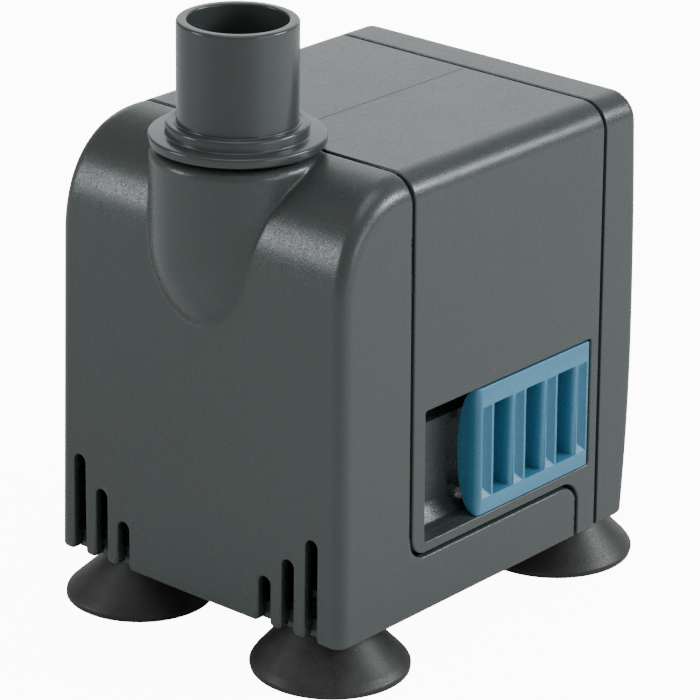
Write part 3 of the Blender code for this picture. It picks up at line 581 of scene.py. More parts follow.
# %% [markdown]
# A sloped foot runs along the bottom of the baffle. It sheds water towards the window, and its
# spark-eroded face glitters in the light from the side. It is a wedge with a hollow slope: the
# height falls from the baffle to the sill by a power of the way out.

# %% Baffle foot
way = np.linspace(0, 1, 9)
FOOT_TOP, FOOT_DROP, FOOT_OUT = 9.75, 1.7, 1.25
slope = np.stack([BAFFLE_FACE + FOOT_OUT * way, FOOT_TOP - FOOT_DROP * way**0.8], -1)
foot_base, foot_back = 7.7, BAFFLE_FACE - 0.15
foot_front = BAFFLE_FACE + FOOT_OUT
foot_start = [(foot_back, foot_base), (foot_back, FOOT_TOP)]
foot_outline = np.concatenate([foot_start, slope, [(foot_front, foot_base)]])
foot = make_piece("motor_housing_baffle_foot", [soft_prism(foot_outline, 13.5, 24.5, "y", 0.05)])
report(foot)

# %% [markdown]
# The housing's front wall carries the pump chamber's back plate with a groove for its seal, and
# the blind tube that the magnet runs in. The plate and tube are round, so they are spun from one
# closed profile. The wall and the pocket round the outlet socket are prisms with soft edges.

# %% Front wall, back plate and rotor well
wall_outline = rectangle((-18.7, 18.7), (2.0, 47.9), 1.2)
wall = make_piece("motor_housing_wall", [soft_prism(wall_outline, HOUSING_Y[0] + 0.05, 13.6, "y", 0.2)])
cut_out(wall, [round_rod(6.6, 5, 20, (0, 0, AXIS_Z), "y", 64)])
cut_out(wall, [notch])
cut_out(wall, [prism(rectangle(CHANNEL_X, CHANNEL_Z, 0.2), 5, 20, "y")])
settle_normals(wall)
apply_modifiers(wall)
pocket_outline = rectangle((-8.6, 8.6), (32.5, 48.6), 0.6)
pocket = make_piece("motor_housing_pocket", [soft_prism(pocket_outline, 13.2, 16.4, "y", 0.2)])
cut_out(pocket, [notch])
settle_normals(pocket)
apply_modifiers(pocket)
well_profile = soften([
    (6.0, 9.9, 0.2), (10.6, 9.9, 0.2), (10.6, 10.35, 0.08), (9.85, 10.35, 0.1), (9.85, 11.35, 0.1),
    (10.6, 11.35, 0.08), (10.6, 12.6, 0.2), (7.1, 12.6, 0.4), (7.1, 35.0, 0.5), (4.4, 35.0, 0.4),
    (4.4, 38.2, 0.4), (0, 38.2, 0), (0, 37.0, 0), (3.2, 37.0, 0.2), (3.2, 34.0, 0.2), (6.0, 34.0, 0.3),
])
well = make_piece("motor_housing_well", [turned(well_profile, (0, 0, AXIS_Z), "y")])
inner_floor = rectangle((-18.4, 18.4), (HOUSING_Y[0] + 0.1, 41.5), 0.8)
housing_floor = make_piece("motor_housing_floor", [soft_prism(inner_floor, 2.0, 4.0, "z", 0.25)])
print("front wall and well:", len(wall.data.polygons) + len(well.data.polygons), "faces")

# %% [markdown]
# Where the two halves of the mould's top slide meet, the real top shows a hair-thin raised line. It
# is a strip with a cosine hump across it, less than a tenth of a millimetre high.

# %% Mould line on the top
line_y = np.linspace(14.7, REAR_SEAM - 0.75, 40)
line_s = np.linspace(-1, 1, 9)
line_x = 0.35 + 0.16 * line_s[None, :] + 0 * line_y[:, None]
line_z = HEIGHT - 0.012 + 0.05 * np.cos(line_s * math.pi / 2)[None, :] + 0 * line_y[:, None]
line_points = np.stack([line_x, np.broadcast_to(line_y[:, None], line_x.shape), line_z], -1)
mould_line = make_piece("motor_housing_mould_line", [(line_points, grid_quads(*line_x.shape))], sharp=180)
face_out(mould_line)
print("mould line:", round(line_y[-1] - line_y[0], 1), "mm long")

# %% [markdown]
# The rear cover is a shallow lid. Its section is carried backwards in rows that describe the whole
# moulding in one go: the hollow inside, the rim at the seam, the outer side, the rounded back edge
# and the back wall, drawn in to its middle. The back wall bellies out by 0.3 mm at a height of
# 22 mm, as a parabola that falls off faster below, and the lower back edge is rounded by 2.2 mm.

# %% Rear cover
def divided(outline, step):
    """The same closed outline with extra points, so that no edge is longer than this step."""
    filled = []
    for start, end in zip(outline, np.roll(outline, -1, axis=0)):
        pieces = max(1, math.ceil(np.linalg.norm(end - start) / step))
        filled.append(start + (end - start) * np.arange(pieces)[:, None] / pieces)
    return np.concatenate(filled)


def belly(z):
    """How far the back wall stands out at a height."""
    return 0.29 - np.where(z > 22, 0.00105, 0.0025) * (z - 22) ** 2


LID_FRONT, LID_ROUND, LID_FOOT = REAR_SEAM + SEAM / 2, 1.0, 2.2
lid_outline = divided(soften([
    (-half_width(BASE), BASE, 0.5), (half_width(BASE), BASE, 0.5),
    (half_width(HEIGHT), HEIGHT, TOP_FILLET), (-half_width(HEIGHT), HEIGHT, TOP_FILLET),
], steps=12), 2.5)
turn = np.linspace(0, math.pi / 2, 8)
side_y = np.linspace(DEPTH - LID_FOOT, DEPTH - LID_ROUND, 6)[:-1]
lid_inset = np.concatenate([
    [2.6, 1.9, 1.75, 1.7, 1.7, 1.5, 0.2, 0.06, 0.0],
    0 * side_y, LID_ROUND * (1 - np.cos(turn)),
])
lid_level = np.concatenate([
    [47.6, 47.6, 47.5, 47.2, LID_FRONT + 0.2, LID_FRONT, LID_FRONT, LID_FRONT + 0.06, LID_FRONT + 0.2],
    side_y, DEPTH - LID_ROUND + LID_ROUND * np.sin(turn),
])
shell_rows, _ = carried(lid_outline, lid_inset, lid_level, "y")
middle = np.array([0, DEPTH, HEIGHT / 2])
share = np.linspace(0, 1, 9)[1:, None, None]
back_rows = shell_rows[-1:] + (middle - shell_rows[-1:]) * share
lid_points = np.concatenate([shell_rows, back_rows])
y, z = lid_points[..., 1], lid_points[..., 2]
over = np.clip(y - (DEPTH - LID_FOOT), 0, LID_FOOT)
foot_z = BASE + LID_FOOT - np.sqrt(LID_FOOT**2 - over**2)
lid_points[..., 2] = np.maximum(z, foot_z)
lid_points[..., 1] += belly(lid_points[..., 2]) * np.clip((y - LID_FRONT) / (DEPTH - LID_FRONT), 0, 1)
lid_faces = [list(f) for f in grid_quads(*lid_points.shape[:2], wrap_cols=True)]
lid_faces.append(list(range(len(lid_outline))))
lid = make_piece("rear_cover_shell", [(lid_points, lid_faces)])
GLAND_Z = (body_box("cord_gland")[0][2] + body_box("cord_gland")[1][2]) / 2
cut_out(lid, [round_rod(3.5, 40, 60, (0, 0, GLAND_Z), "y", 64)])
cut_out(lid, [round_rod(1.4, -1, 4.8, (side * CUP_X, CUP_REAR_Y, 0), "z") for side in (-1, 1)])
settle_normals(lid)
apply_modifiers(lid)
report(lid)

# %% [markdown]
# The nozzle is turned in one profile, with its seal groove, flange, step and tube. The small radii
# at the tube's root and rim are what catches the light on the real one.

# %% Outlet nozzle
nozzle_profile = soften([
    (4.9, 40.0, 0.2), (6.35, 40.0, 0.35), (6.35, 44.2, 0.08), (5.85, 44.2, 0.12), (5.85, 45.4, 0.12),
    (6.35, 45.4, 0.08), (6.35, 50.6, 0.15), (9.5, 50.6, 0.22), (9.5, 51.65, 0.28), (7.68, 51.65, 0.18),
    (7.68, 52.95, 0.35), (6.95, 52.95, 0.08), (6.5, 52.72, 0.16), (6.5, 63.98, 0.3), (5.375, 63.98, 0.22),
    (5.375, 52.2, 0.5), (4.9, 51.2, 0.5),
], steps=5)
nozzle = make_piece("outlet_nozzle_tube", [turned(nozzle_profile, (0, OUTLET_Y, 0), steps=160)], sharp=60)
report(nozzle)

# %% [markdown]
# The flow slider has a flat face and an arched back, like a slice of a drum, and its leading end
# rolls over into the face. Three slots go right through. The far wall of each rolls out to the
# face along a quarter of an ellipse, so that water and a fingernail slide in easily.

# %% Flow slider
SLIDER_Y, SLIDER_Z = (22.48, 42.08), (8.02, 22.95)
LOUVRE_Z, PITCH = (9.9, 20.6), 5.6
SLIDER_HALF, SLIDER_MIDDLE = (SLIDER_Z[1] - SLIDER_Z[0]) / 2, sum(SLIDER_Z) / 2


def slider_depth(z):
    """Thickness at a height: 3 mm times a power of the cosine over the half height, at least 0.55 mm."""
    cosine = np.sqrt(np.maximum(1 - ((z - SLIDER_MIDDLE) / SLIDER_HALF) ** 2, 0))
    return np.maximum(3.0 * cosine**0.8, 0.55)


angle = np.linspace(math.radians(81), math.radians(-81), 28)
back_z = SLIDER_MIDDLE + SLIDER_HALF * np.sin(angle)
back = np.stack([half_width(SLIDER_MIDDLE) - slider_depth(back_z), back_z, 0 * back_z], -1)
face = [(half_width(SLIDER_Z[0]), SLIDER_Z[0], 0.12), (half_width(SLIDER_Z[1]), SLIDER_Z[1], 0.2)]
section_outline = divided(soften(face + [tuple(p) for p in back], steps=5), 1.2)
edge, roll_y, roll_x = 0.22, 0.75, 1.5
turn = np.linspace(0, math.pi / 2, 5)
soft_y, soft_in = edge * (1 - np.cos(turn)), edge * (1 - np.sin(turn))
roll_rows = np.linspace(edge, roll_y, 8)[1:]
plate_level = np.concatenate([[0], soft_y, roll_rows, [3.0]]) + SLIDER_Y[0]
plate_level = np.concatenate([plate_level, SLIDER_Y[1] - soft_y[::-1], [SLIDER_Y[1]]])
plate_inset = np.concatenate([[edge + 0.03], soft_in, 0 * roll_rows, [0], soft_in[::-1], [edge + 0.03]])
plate_points, plate_faces = carried(section_outline, plate_inset, plate_level, "y")
x, y, z = np.moveaxis(plate_points, -1, 0)
thick = slider_depth(z)
rolled = 1 - np.sqrt(np.maximum(1 - np.clip((SLIDER_Y[0] + roll_y - y) / roll_y, 0, 1) ** 2, 0))
back_x = half_width(SLIDER_MIDDLE) - thick
lost = np.minimum(roll_x, 0.72 * thick) * rolled
plate_points[..., 0] = back_x + (x - back_x) * (1 - lost / thick)
slider = make_piece("flow_slider_plate", [(plate_points, plate_faces)])


def louvre_cutter(y, z):
    """A slot through the slider; its far side widens along a quarter of an ellipse, 0.5 mm by 1.3 mm."""
    outline = rectangle(y, z, 0.12)
    face_x = half_width(sum(z) / 2)
    depth = np.concatenate([[10.0], np.linspace(1.3, 0.0, 9), [-1.0]])
    points, faces = carried(outline, np.full(11, -0.03) * (depth < 0.3), face_x - depth, "x")
    near = np.clip(1 - depth / 1.3, 0, 1)[:, None]
    grown = 0.55 * (1 - np.sqrt(1 - near**2))
    points[..., 1] += grown * (points[..., 1] > sum(y) / 2)
    return points, faces


# %% [markdown]
# Four flutes between the slots give a finger its grip. Each is a scoop: deep along its near edge, it
# stays deep for most of the way across and then rises in a round to the face, as the depth times a
# power of what a power of the way leaves over. Its ends run out aslant in step with the depth, which
# leaves a small three-cornered facet that catches the light.

# %% Slider flutes
def flute_cutter(y, z, deep=1.15, reach=1.35, columns=8):
    """A grid: columns on the way across, and six levels up the flute that close above the face."""
    way = np.linspace(0, 1, columns)
    flat = np.zeros(columns)
    depth = deep * (1 - way**1.7) ** 0.85 + 0.02
    run = depth * reach / deep
    high = np.stack([z[0] + flat, z[0] + flat, z[0] + run, z[1] - run, z[1] + flat, z[1] + flat])
    down = np.stack([flat - 1, flat, depth, depth, flat, flat - 1])
    along = np.broadcast_to(y[0] + (y[1] - y[0]) * way, high.shape)
    points = np.stack([half_width(high) - down, along, high], -1)
    first = [columns * i for i in range(len(high))]
    last = [corner + columns - 1 for corner in first]
    faces = [list(f) for f in grid_quads(*high.shape, wrap_rows=True)]
    return points, faces + [first, last]


first_louvre, first_flute = np.array([25.23, 28.13]), np.array([23.30, 24.86])
louvres = [louvre_cutter(first_louvre + PITCH * i, LOUVRE_Z) for i in range(3)]
flutes = [flute_cutter(first_flute + PITCH * i, LOUVRE_Z) for i in range(4)]
cut_out(slider, louvres + flutes)
add_modifier(slider, "BEVEL", width=0.05 * MM, segments=2, limit_method="ANGLE",
             angle_limit=math.radians(40), use_clamp_overlap=True)
settle_normals(slider)
apply_modifiers(slider)
tab_z = [(SLIDER_Z[1] - 0.9, SLIDER_Z[1] + 0.5), (SLIDER_Z[0] - 0.5, SLIDER_Z[0] + 0.9)]
tabs = [soft_prism(rectangle((18.45, 19.15), z, 0.15), 33.0, 39.0, "y", 0.15) for z in tab_z]
slider_tabs = make_piece("flow_slider_tabs", tabs)
report(slider)

# %% [markdown]
# The feet are soft suction cups. The outside is a plain cone at 45 degrees that rounds over just
# above the rim, and the inside is hollow. The front stems end in a knob that snaps through the
# tray's floor; the rear stems are plain. Soft rubber never sits quite true, so each rim has its own
# radius and leans off its stem by 0.3 to 1.3 mm, more the lower the point.

# %% Suction cups and cord gland
CUP_LOW = -6.28
CUP_SET = {
    "suction_cup_front_left": (-CUP_X, CUP_FRONT_Y, True, 8.44, (-1.30, -0.30)),
    "suction_cup_front_right": (CUP_X, CUP_FRONT_Y, True, 8.83, (0.50, 0.10)),
    "suction_cup_rear_left": (-CUP_X, CUP_REAR_Y, False, 8.90, (0.30, 0.10)),
    "suction_cup_rear_right": (CUP_X, CUP_REAR_Y, False, 9.20, (-0.85, 0.20)),
}


def cup_profile(knob, radius):
    """A cup's section as (radius, height) corners: hollow, rim, cone, and the stem with or without a knob."""
    under = [(0, -2.9, 0), (3.0, -3.1, 1.5), (6.2, -4.5, 2.5), (radius - 0.42, CUP_LOW, 0.1)]
    rim = [(radius - 0.1, CUP_LOW, 0.12), (radius, -5.65, 0.5)]
    flank = [(radius - 0.58, -4.92, 1.7), (4.3, -0.72, 0.8), (4.3, -0.32, 0.12), (1.2, -0.32, 0.1)]
    head = [(1.2, 2.0, 0.05), (2.0, 2.1, 0.15), (1.9, 2.9, 0.3), (1.1, 3.6, 0.4), (0, 3.6, 0)]
    top = head if knob else [(1.2, 4.4, 0.3), (0, 4.4, 0)]
    return soften(under + rim + flank + top, closed=True, steps=8)


cups = {}
for node, (x, y, knob, radius, lean) in CUP_SET.items():
    points, faces = turned(cup_profile(knob, radius), (x, y, 0), steps=144, closed=False)
    share = np.clip(points[..., 2:] / CUP_LOW, 0, 1) ** 1.2
    points[..., :2] += share * np.array(lean)
    cups[node] = make_piece(node + "_soft", [(points, faces)], sharp=70)
gland_profile = soften([
    (2.6, 46.2, 0.3), (4.6, 46.2, 0.3), (4.6, 47.3, 0.15), (3.2, 47.3, 0.15), (3.2, 49.95, 0.15),
    (4.6, 49.95, 0.2), (4.3, 51.05, 0.4), (2.6, 51.05, 0.3),
])
gland = make_piece("cord_gland_soft", [turned(gland_profile, (0, 0, GLAND_Z), "y")], sharp=70)
print(len(cups), "cups and a gland")

# %% [markdown]
# With the cover off, the rotor shows: an impeller with six straight blades on a disc, and behind it
# the ferrite magnet on a fixed ceramic shaft. The blades are soft prisms turned round the axis. The
# magnet, shaft, washers and bushes are plain turned parts, so one function spins them all. The two
# seals are O-rings: a circle spun round the rotor's axis, and another round the nozzle's.

# %% Rotor, shaft and seals
def round_axis(points, degrees):
    """Points turned round the rotor axis, from x, y and height above the axis."""
    c, s = math.cos(math.radians(degrees)), math.sin(math.radians(degrees))
    x, y, z = np.moveaxis(np.asarray(points), -1, 0)
    return np.stack([c * x + s * z, y, AXIS_Z - s * x + c * z], -1)


def spun_ring(name, inner, outer, y, inner_round, outer_round, steps=64):
    """A ring, or a rod when inner is 0, spun round the rotor axis between two places on it."""
    corners = [(inner, y[0], inner_round), (outer, y[0], outer_round), (outer, y[1], outer_round),
               (inner, y[1], inner_round)]
    return make_piece(name, [turned(soften(corners), (0, 0, AXIS_Z), "y", steps)])


BORE = 1.12
blade, blade_faces = soft_prism(rectangle((2.3, 8.8), (-0.5, 0.5), 0.45), 5.6, 8.8, "y", 0.2)
blades = [(round_axis(blade, 60 * i), blade_faces) for i in range(6)]
disc = soften([(BORE, 5.9, 0.15), (2.6, 5.9, 0.2), (2.6, 8.5, 0.3), (9.0, 8.5, 0.15), (9.0, 9.5, 0.15),
               (2.6, 9.5, 0.3), (2.6, 12.6, 0.15), (BORE, 12.6, 0.15)])
impeller = make_piece("impeller_blades", [turned(disc, (0, 0, AXIS_Z), "y")] + blades)
magnet = spun_ring("rotor_magnet_body", BORE, 5.5, (12.9, 32.9), 0.2, 0.5, 96)
shaft = spun_ring("rotor_shaft_pin", 0, 1.0, (3.2, 36.2), 0, 0.2, 48)
front_washer = spun_ring("front_thrust_washer_disc", BORE, 2.2, (5.1, 5.6), 0.1, 0.1)
rear_washer = spun_ring("rear_thrust_washer_disc", BORE, 2.2, (33.1, 33.6), 0.1, 0.1)
front_bush = spun_ring("front_bush_soft", BORE, 2.2, (3.1, 4.9), 0.15, 0.25)
rear_bush = spun_ring("rear_bush_soft", BORE, 2.9, (34.1, 36.7), 0.15, 0.25)
chamber_section = arc((10.4, 10.85), 0.42, 0, 337.5, 15)
chamber_ring = make_piece("chamber_seal_ring", [turned(chamber_section, (0, 0, AXIS_Z), "y")])
nozzle_section = arc((6.3, 44.8), 0.40, 0, 337.5, 15)
nozzle_ring = make_piece("nozzle_seal_ring", [turned(nozzle_section, (0, OUTLET_Y, 0))])
print("rotor:", len(impeller.data.polygons) + len(magnet.data.polygons), "faces")

# %% [markdown]
# ## Finishes
#
# The same few surface effects return on most pieces, so each is a node group of its own, with named
# inputs and outputs. The groups read Object coordinates, turned into millimetres, so their grain has
# a real size. A small helper adds a node, sets its values and links its inputs in one line.

# %% Node helpers
def add(tree, kind, inputs=None, **settings):
    """A new node: settings are its properties, and inputs are values or sockets to link."""
    node = tree.nodes.new("ShaderNode" + kind)
    for name, value in settings.items():
        setattr(node, name, value)
    for name, value in (inputs or {}).items():
        if isinstance(value, bpy.types.NodeSocket):
            tree.links.new(value, node.inputs[name])
        else:
            node.inputs[name].default_value = value
    return node


def maths(tree, operation, a, b=0.0):
    """One step of arithmetic on two values or sockets; its result is a socket."""
    return add(tree, "Math", {0: a, 1: b}, operation=operation).outputs[0]


def spread(tree, value, low, high, to_low=0.0, to_high=1.0):
    """Stretches the part of a value between low and high over another range, and clamps the rest."""
    inputs = {"Value": value, "From Min": low, "From Max": high, "To Min": to_low, "To Max": to_high}
    return add(tree, "MapRange", inputs).outputs["Result"]


def blend(tree, share, first, second):
    """A colour between two others."""
    return add(tree, "Mix", {"Factor": share, 6: first, 7: second}, data_type="RGBA").outputs[2]


def noise(tree, vector, size, detail=2.0, roughness=0.55):
    """Noise whose lumps are about this many millimetres across."""
    scale = maths(tree, "DIVIDE", 1.0, size)
    inputs = {"Vector": vector, "Scale": scale, "Detail": detail, "Roughness": roughness}
    return add(tree, "TexNoise", inputs).outputs["Fac"]


def new_group(name, inputs, outputs):
    """An empty node group with these float sockets, with the place in mm ready to use."""
    group = bpy.data.node_groups.new(name, "ShaderNodeTree")
    for label, value in inputs.items():
        group.interface.new_socket(label, in_out="INPUT", socket_type="NodeSocketFloat").default_value = value
    for label in outputs:
        group.interface.new_socket(label, in_out="OUTPUT", socket_type="NodeSocketFloat")
    given = group.nodes.new("NodeGroupInput").outputs
    result = group.nodes.new("NodeGroupOutput").inputs
    place = add(group, "TexCoord").outputs["Object"]
    place = add(group, "VectorMath", {0: place, "Scale": 1000.0}, operation="SCALE").outputs["Vector"]
    return group, given, result, place


# %% [markdown]
# **Spark grain.** The mould for the body was cut by electric sparks, which leave tiny overlapping
# craters, and the plastic copies them. It gives the satin sheen of the grey body and makes it glitter
# where a lamp is nearly mirrored. Fine noise is the craters; the rare steep ones are the crests of
# a second noise, and a coarser noise makes the grain uneven.
#
# **Moulding flow.** Pigment and gloss drift a little from the gate outwards, in soft clouds.

# %% Spark grain and moulding flow
grain, given, result, place = new_group("spark_grain", {"Size": 0.17, "Patch": 1.5}, ["Height", "Glint"])
craters = noise(grain, place, given["Size"], 2.5, 0.62)
patches = noise(grain, place, given["Patch"], 1.0)
uneven = spread(grain, patches, 0.3, 0.7, 0.55, 1.15)
steep = spread(grain, noise(grain, place, maths(grain, "MULTIPLY", given["Size"], 1.25), 1.0), 0.56, 0.70)
both = maths(grain, "ADD", maths(grain, "MULTIPLY", craters, 0.30), maths(grain, "MULTIPLY", steep, 1.5))
grain.links.new(maths(grain, "MULTIPLY", both, uneven), result["Height"])
facets = add(grain, "TexVoronoi", {"Vector": place, "Scale": maths(grain, "DIVIDE", 1.0, given["Size"])})
tint = add(grain, "SeparateColor", {"Color": facets.outputs["Color"]}).outputs["Red"]
grain.links.new(spread(grain, tint, 0.55, 1.0), result["Glint"])

flow, given, result, place = new_group("moulding_flow", {"Cloud": 9.0, "Contrast": 0.08}, ["Tone", "Gloss"])
clouds = noise(flow, place, given["Cloud"], 2.0, 0.5)
stretched = add(flow, "VectorMath", {0: place, 1: (0.35, 0.35, 1.6)}, operation="MULTIPLY").outputs["Vector"]
streaks = noise(flow, stretched, 3.1, 2.0, 0.6)
both = maths(flow, "ADD", maths(flow, "MULTIPLY", clouds, 0.7), maths(flow, "MULTIPLY", streaks, 0.3))
centred = maths(flow, "MULTIPLY", maths(flow, "SUBTRACT", both, 0.5), given["Contrast"])
flow.links.new(maths(flow, "ADD", 1.0, centred), result["Tone"])
flow.links.new(maths(flow, "MULTIPLY", maths(flow, "SUBTRACT", streaks, 0.5), 1.0), result["Gloss"])
print("groups:", [group.name for group in bpy.data.node_groups])

# %% [markdown]
# ** Edge wear and painted highlight.** Handling and packing polish the outer edges and lighten them
# slightly; that lighter colour also stands in for the highlight along the rounded edges, so it is
# partly a painted highlight. Pointiness finds the outward edges, and a noise breaks the line up.
#
# **Fine scratches.** Short hairlines from rubbing against other things, in two directions: noise
# stretched long and thin, of which only the crests are kept.
#
# **Dust.** A faint pale film that settles on what faces up, in patches.

# %% Edge wear and painted highlight, scratches and dust
wear_highlight_group, given, result, place = new_group("edge_wear_and_highlight", {"Amount": 1.0}, ["Mask"])
# The edge mask marks real wear and also paints a highlight along the outward edges.
pointed = spread(wear_highlight_group, add(wear_highlight_group, "NewGeometry").outputs["Pointiness"], 0.515, 0.60)
broken = spread(wear_highlight_group, noise(wear_highlight_group, place, 0.9, 4.0, 0.7), 0.38, 0.62, 0.25, 1.0)
worn_highlit_edge = maths(wear_highlight_group, "MULTIPLY", pointed, broken)
wear_highlight_group.links.new(maths(wear_highlight_group, "MULTIPLY", worn_highlit_edge, given["Amount"]), result["Mask"])

scratches, given, result, place = new_group("fine_scratches", {"Length": 6.0, "Cover": 0.5}, ["Mask"])
crests = []
for turn_by, stretch in (((0.3, 0.5, 0.9), (1.0, 22.0, 22.0)), ((0.8, -0.4, -0.3), (22.0, 22.0, 1.0))):
    inputs = {"Vector": place, "Rotation": turn_by}
    turning = add(scratches, "VectorRotate", inputs, rotation_type="EULER_XYZ")
    thin = add(scratches, "VectorMath", {0: turning.outputs["Vector"], 1: stretch}, operation="MULTIPLY")
    lines = noise(scratches, thin.outputs["Vector"], given["Length"], 1.0)
    crests.append(spread(scratches, lines, 0.70, 0.76))
hairlines = maths(scratches, "MAXIMUM", *crests)
scratches.links.new(maths(scratches, "MULTIPLY", hairlines, given["Cover"]), result["Mask"])

dust, given, result, place = new_group("settled_dust", {"Amount": 0.2}, ["Mask"])
facing = add(dust, "SeparateXYZ", {"Vector": add(dust, "NewGeometry").outputs["Normal"]}).outputs["Z"]
lying = spread(dust, facing, 0.2, 1.0, 0.15, 1.0)
blots = spread(dust, noise(dust, place, 2.6, 5.0, 0.65), 0.42, 0.75)
specks = spread(dust, noise(dust, place, 0.22, 1.0), 0.68, 0.76)
film = maths(dust, "MAXIMUM", maths(dust, "MULTIPLY", blots, 0.6), specks)
dust.links.new(maths(dust, "MULTIPLY", maths(dust, "MULTIPLY", film, lying), given["Amount"]), result["Mask"])
print("groups:", len(bpy.data.node_groups))

# %% [markdown]
# **Stripes.** The winding's wires and the core's stacked sheets are rows of equal ridges. One group
# makes both: a sine along a chosen direction, with a small waver so that no two ridges are alike.

# %% Stripes
stripe_inputs = {"Pitch": 0.3, "Across": 0.0, "Waver": 0.15}
stripes, given, result, place = new_group("stripes", stripe_inputs, ["Height", "Groove"])
parts = add(stripes, "SeparateXYZ", {"Vector": place}).outputs
chosen = add(stripes, "Mix", {"Factor": given["Across"], 2: parts["X"], 3: parts["Y"]}).outputs[0]
drift = maths(stripes, "SUBTRACT", noise(stripes, place, 2.2), 0.5)
waver = maths(stripes, "MULTIPLY", drift, given["Waver"])
turns = maths(stripes, "DIVIDE", maths(stripes, "ADD", chosen, waver), given["Pitch"])
wave = maths(stripes, "SINE", maths(stripes, "MULTIPLY", turns, 2 * math.pi))
stripes.links.new(spread(stripes, wave, -1.0, 1.0), result["Height"])
stripes.links.new(spread(stripes, wave, -0.6, -1.0), result["Groove"])
print("stripe group has", len(stripes.nodes), "nodes")

# %% [markdown]
# The moulded and rubber finishes share one recipe. The base colour drifts with the flow, lightens
# on the outer edges, partly as wear and partly as a painted highlight, and under dust; grain,
# scratches and wear change the roughness; grain and scratches make the bump. What differs from
# piece to piece is the size and strength of each effect.

# %% Moulded finish
def use(tree, group, **inputs):
    """Puts a node group into a tree, sets its inputs and returns its outputs."""
    node = add(tree, "Group", node_tree=group)
    for name, value in inputs.items():
        node.inputs[name].default_value = value
    return node.outputs


def moulded(name, colour, roughness, grain_size=0.17, depth=0.006, contrast=0.08, cloud=9.0,
            wear_highlight_amount=0.3, scratch=0.3, dusty=0.05, glint=0.08, **constants):
    """A moulded surface; depth is the grain's height in mm, and constants go to the shader itself."""
    material = bpy.data.materials.new(name)
    material.use_nodes = True
    tree = material.node_tree
    shader = tree.nodes["Principled BSDF"]
    grains = use(tree, grain, Size=grain_size)
    flows = use(tree, flow, Cloud=cloud, Contrast=contrast)
    edges = use(tree, wear_highlight_group, Amount=wear_highlight_amount)["Mask"]
    hairs = use(tree, scratches, Cover=scratch)["Mask"]
    dirt = use(tree, dust, Amount=dusty)["Mask"]
    toned = add(tree, "VectorMath", {0: colour, "Scale": flows["Tone"]}, operation="SCALE").outputs["Vector"]
    # The lighter colour on the outer edges is partly wear and partly a painted highlight.
    lighter = tuple(min(1.0, 1.9 * c + 0.01) for c in colour) + (1,)
    worn_highlit = blend(tree, edges, toned, lighter)
    dusted = blend(tree, dirt, worn_highlit, (0.42, 0.42, 0.40, 1))
    tree.links.new(dusted, shader.inputs["Base Color"])
    rough = maths(tree, "ADD", roughness, maths(tree, "MULTIPLY", flows["Gloss"], 0.10))
    rough = maths(tree, "SUBTRACT", rough, maths(tree, "MULTIPLY", grains["Glint"], glint))
    rough = maths(tree, "ADD", rough, maths(tree, "MULTIPLY", dirt, 0.35))
    rough = maths(tree, "ADD", rough, maths(tree, "MULTIPLY", hairs, 0.12))
    rough = maths(tree, "SUBTRACT", rough, maths(tree, "MULTIPLY", edges, 0.08))
    tree.links.new(rough, shader.inputs["Roughness"])
    height = maths(tree, "SUBTRACT", grains["Height"], maths(tree, "MULTIPLY", hairs, 0.25))
    bump = add(tree, "Bump", {"Height": height, "Strength": 1.0, "Distance": depth * MM})
    tree.links.new(bump.outputs["Normal"], shader.inputs["Normal"])
    for socket, value in constants.items():
        shader.inputs[socket.replace("_", " ")].default_value = value
    return material


finishes = {}
# On the grey body the lighter edges also paint the highlight along rounded edges such as the window's lip.
finishes["body_plastic"] = moulded(
    "body_plastic", (0.045, 0.054, 0.052), roughness=0.31, grain_size=0.16, depth=0.0062,
    contrast=0.10, cloud=11, wear_highlight_amount=0.22, scratch=0.25, dusty=0.035, glint=0.12,
)
finishes["nozzle_plastic"] = moulded(
    "nozzle_plastic", (0.044, 0.050, 0.049), roughness=0.22, grain_size=0.10, depth=0.0010,
    contrast=0.06, cloud=7, wear_highlight_amount=0.25, scratch=0.35, dusty=0.03, glint=0.03,
)
finishes["slider_plastic"] = moulded(
    "slider_plastic", (0.052, 0.205, 0.325), roughness=0.30, grain_size=0.12, depth=0.0012,
    contrast=0.10, cloud=6, wear_highlight_amount=0.18, scratch=0.30, dusty=0.03, glint=0.05,
)
finishes["cup_rubber"] = moulded(
    "cup_rubber", (0.017, 0.0165, 0.0155), roughness=0.46, grain_size=0.14, depth=0.0060,
    contrast=0.25, cloud=5, wear_highlight_amount=0.15, scratch=0.25, dusty=0.10, glint=0.08,
)
finishes["seal_rubber"] = moulded(
    "seal_rubber", (0.012, 0.012, 0.012), roughness=0.50, grain_size=0.12, depth=0.0050,
    contrast=0.20, cloud=4, wear_highlight_amount=0.10, scratch=0.15, dusty=0.08, glint=0.05,
)
finishes["chamber_plastic"] = moulded(
    "chamber_plastic", (0.040, 0.045, 0.045), roughness=0.40, grain_size=0.15, depth=0.0050,
    contrast=0.10, cloud=8, wear_highlight_amount=0.20, scratch=0.30, dusty=0.04, glint=0.08,
)
finishes["impeller_plastic"] = moulded(
    "impeller_plastic", (0.50, 0.52, 0.53), roughness=0.38, grain_size=0.12, depth=0.0025,
    contrast=0.05, cloud=6, wear_highlight_amount=0.20, scratch=0.40, dusty=0.06, glint=0.05,
)
finishes["ferrite"] = moulded(
    "ferrite", (0.028, 0.028, 0.031), roughness=0.55, grain_size=0.22, depth=0.0100,
    contrast=0.30, cloud=3, wear_highlight_amount=0.60, scratch=0.60, dusty=0.05, glint=0.20,
)
finishes["ceramic"] = moulded(
    "ceramic", (0.78, 0.77, 0.73), roughness=0.16, grain_size=0.08, depth=0.0008,
    contrast=0.04, cloud=3, wear_highlight_amount=0.10, scratch=0.50, dusty=0.02, glint=0.04,
)
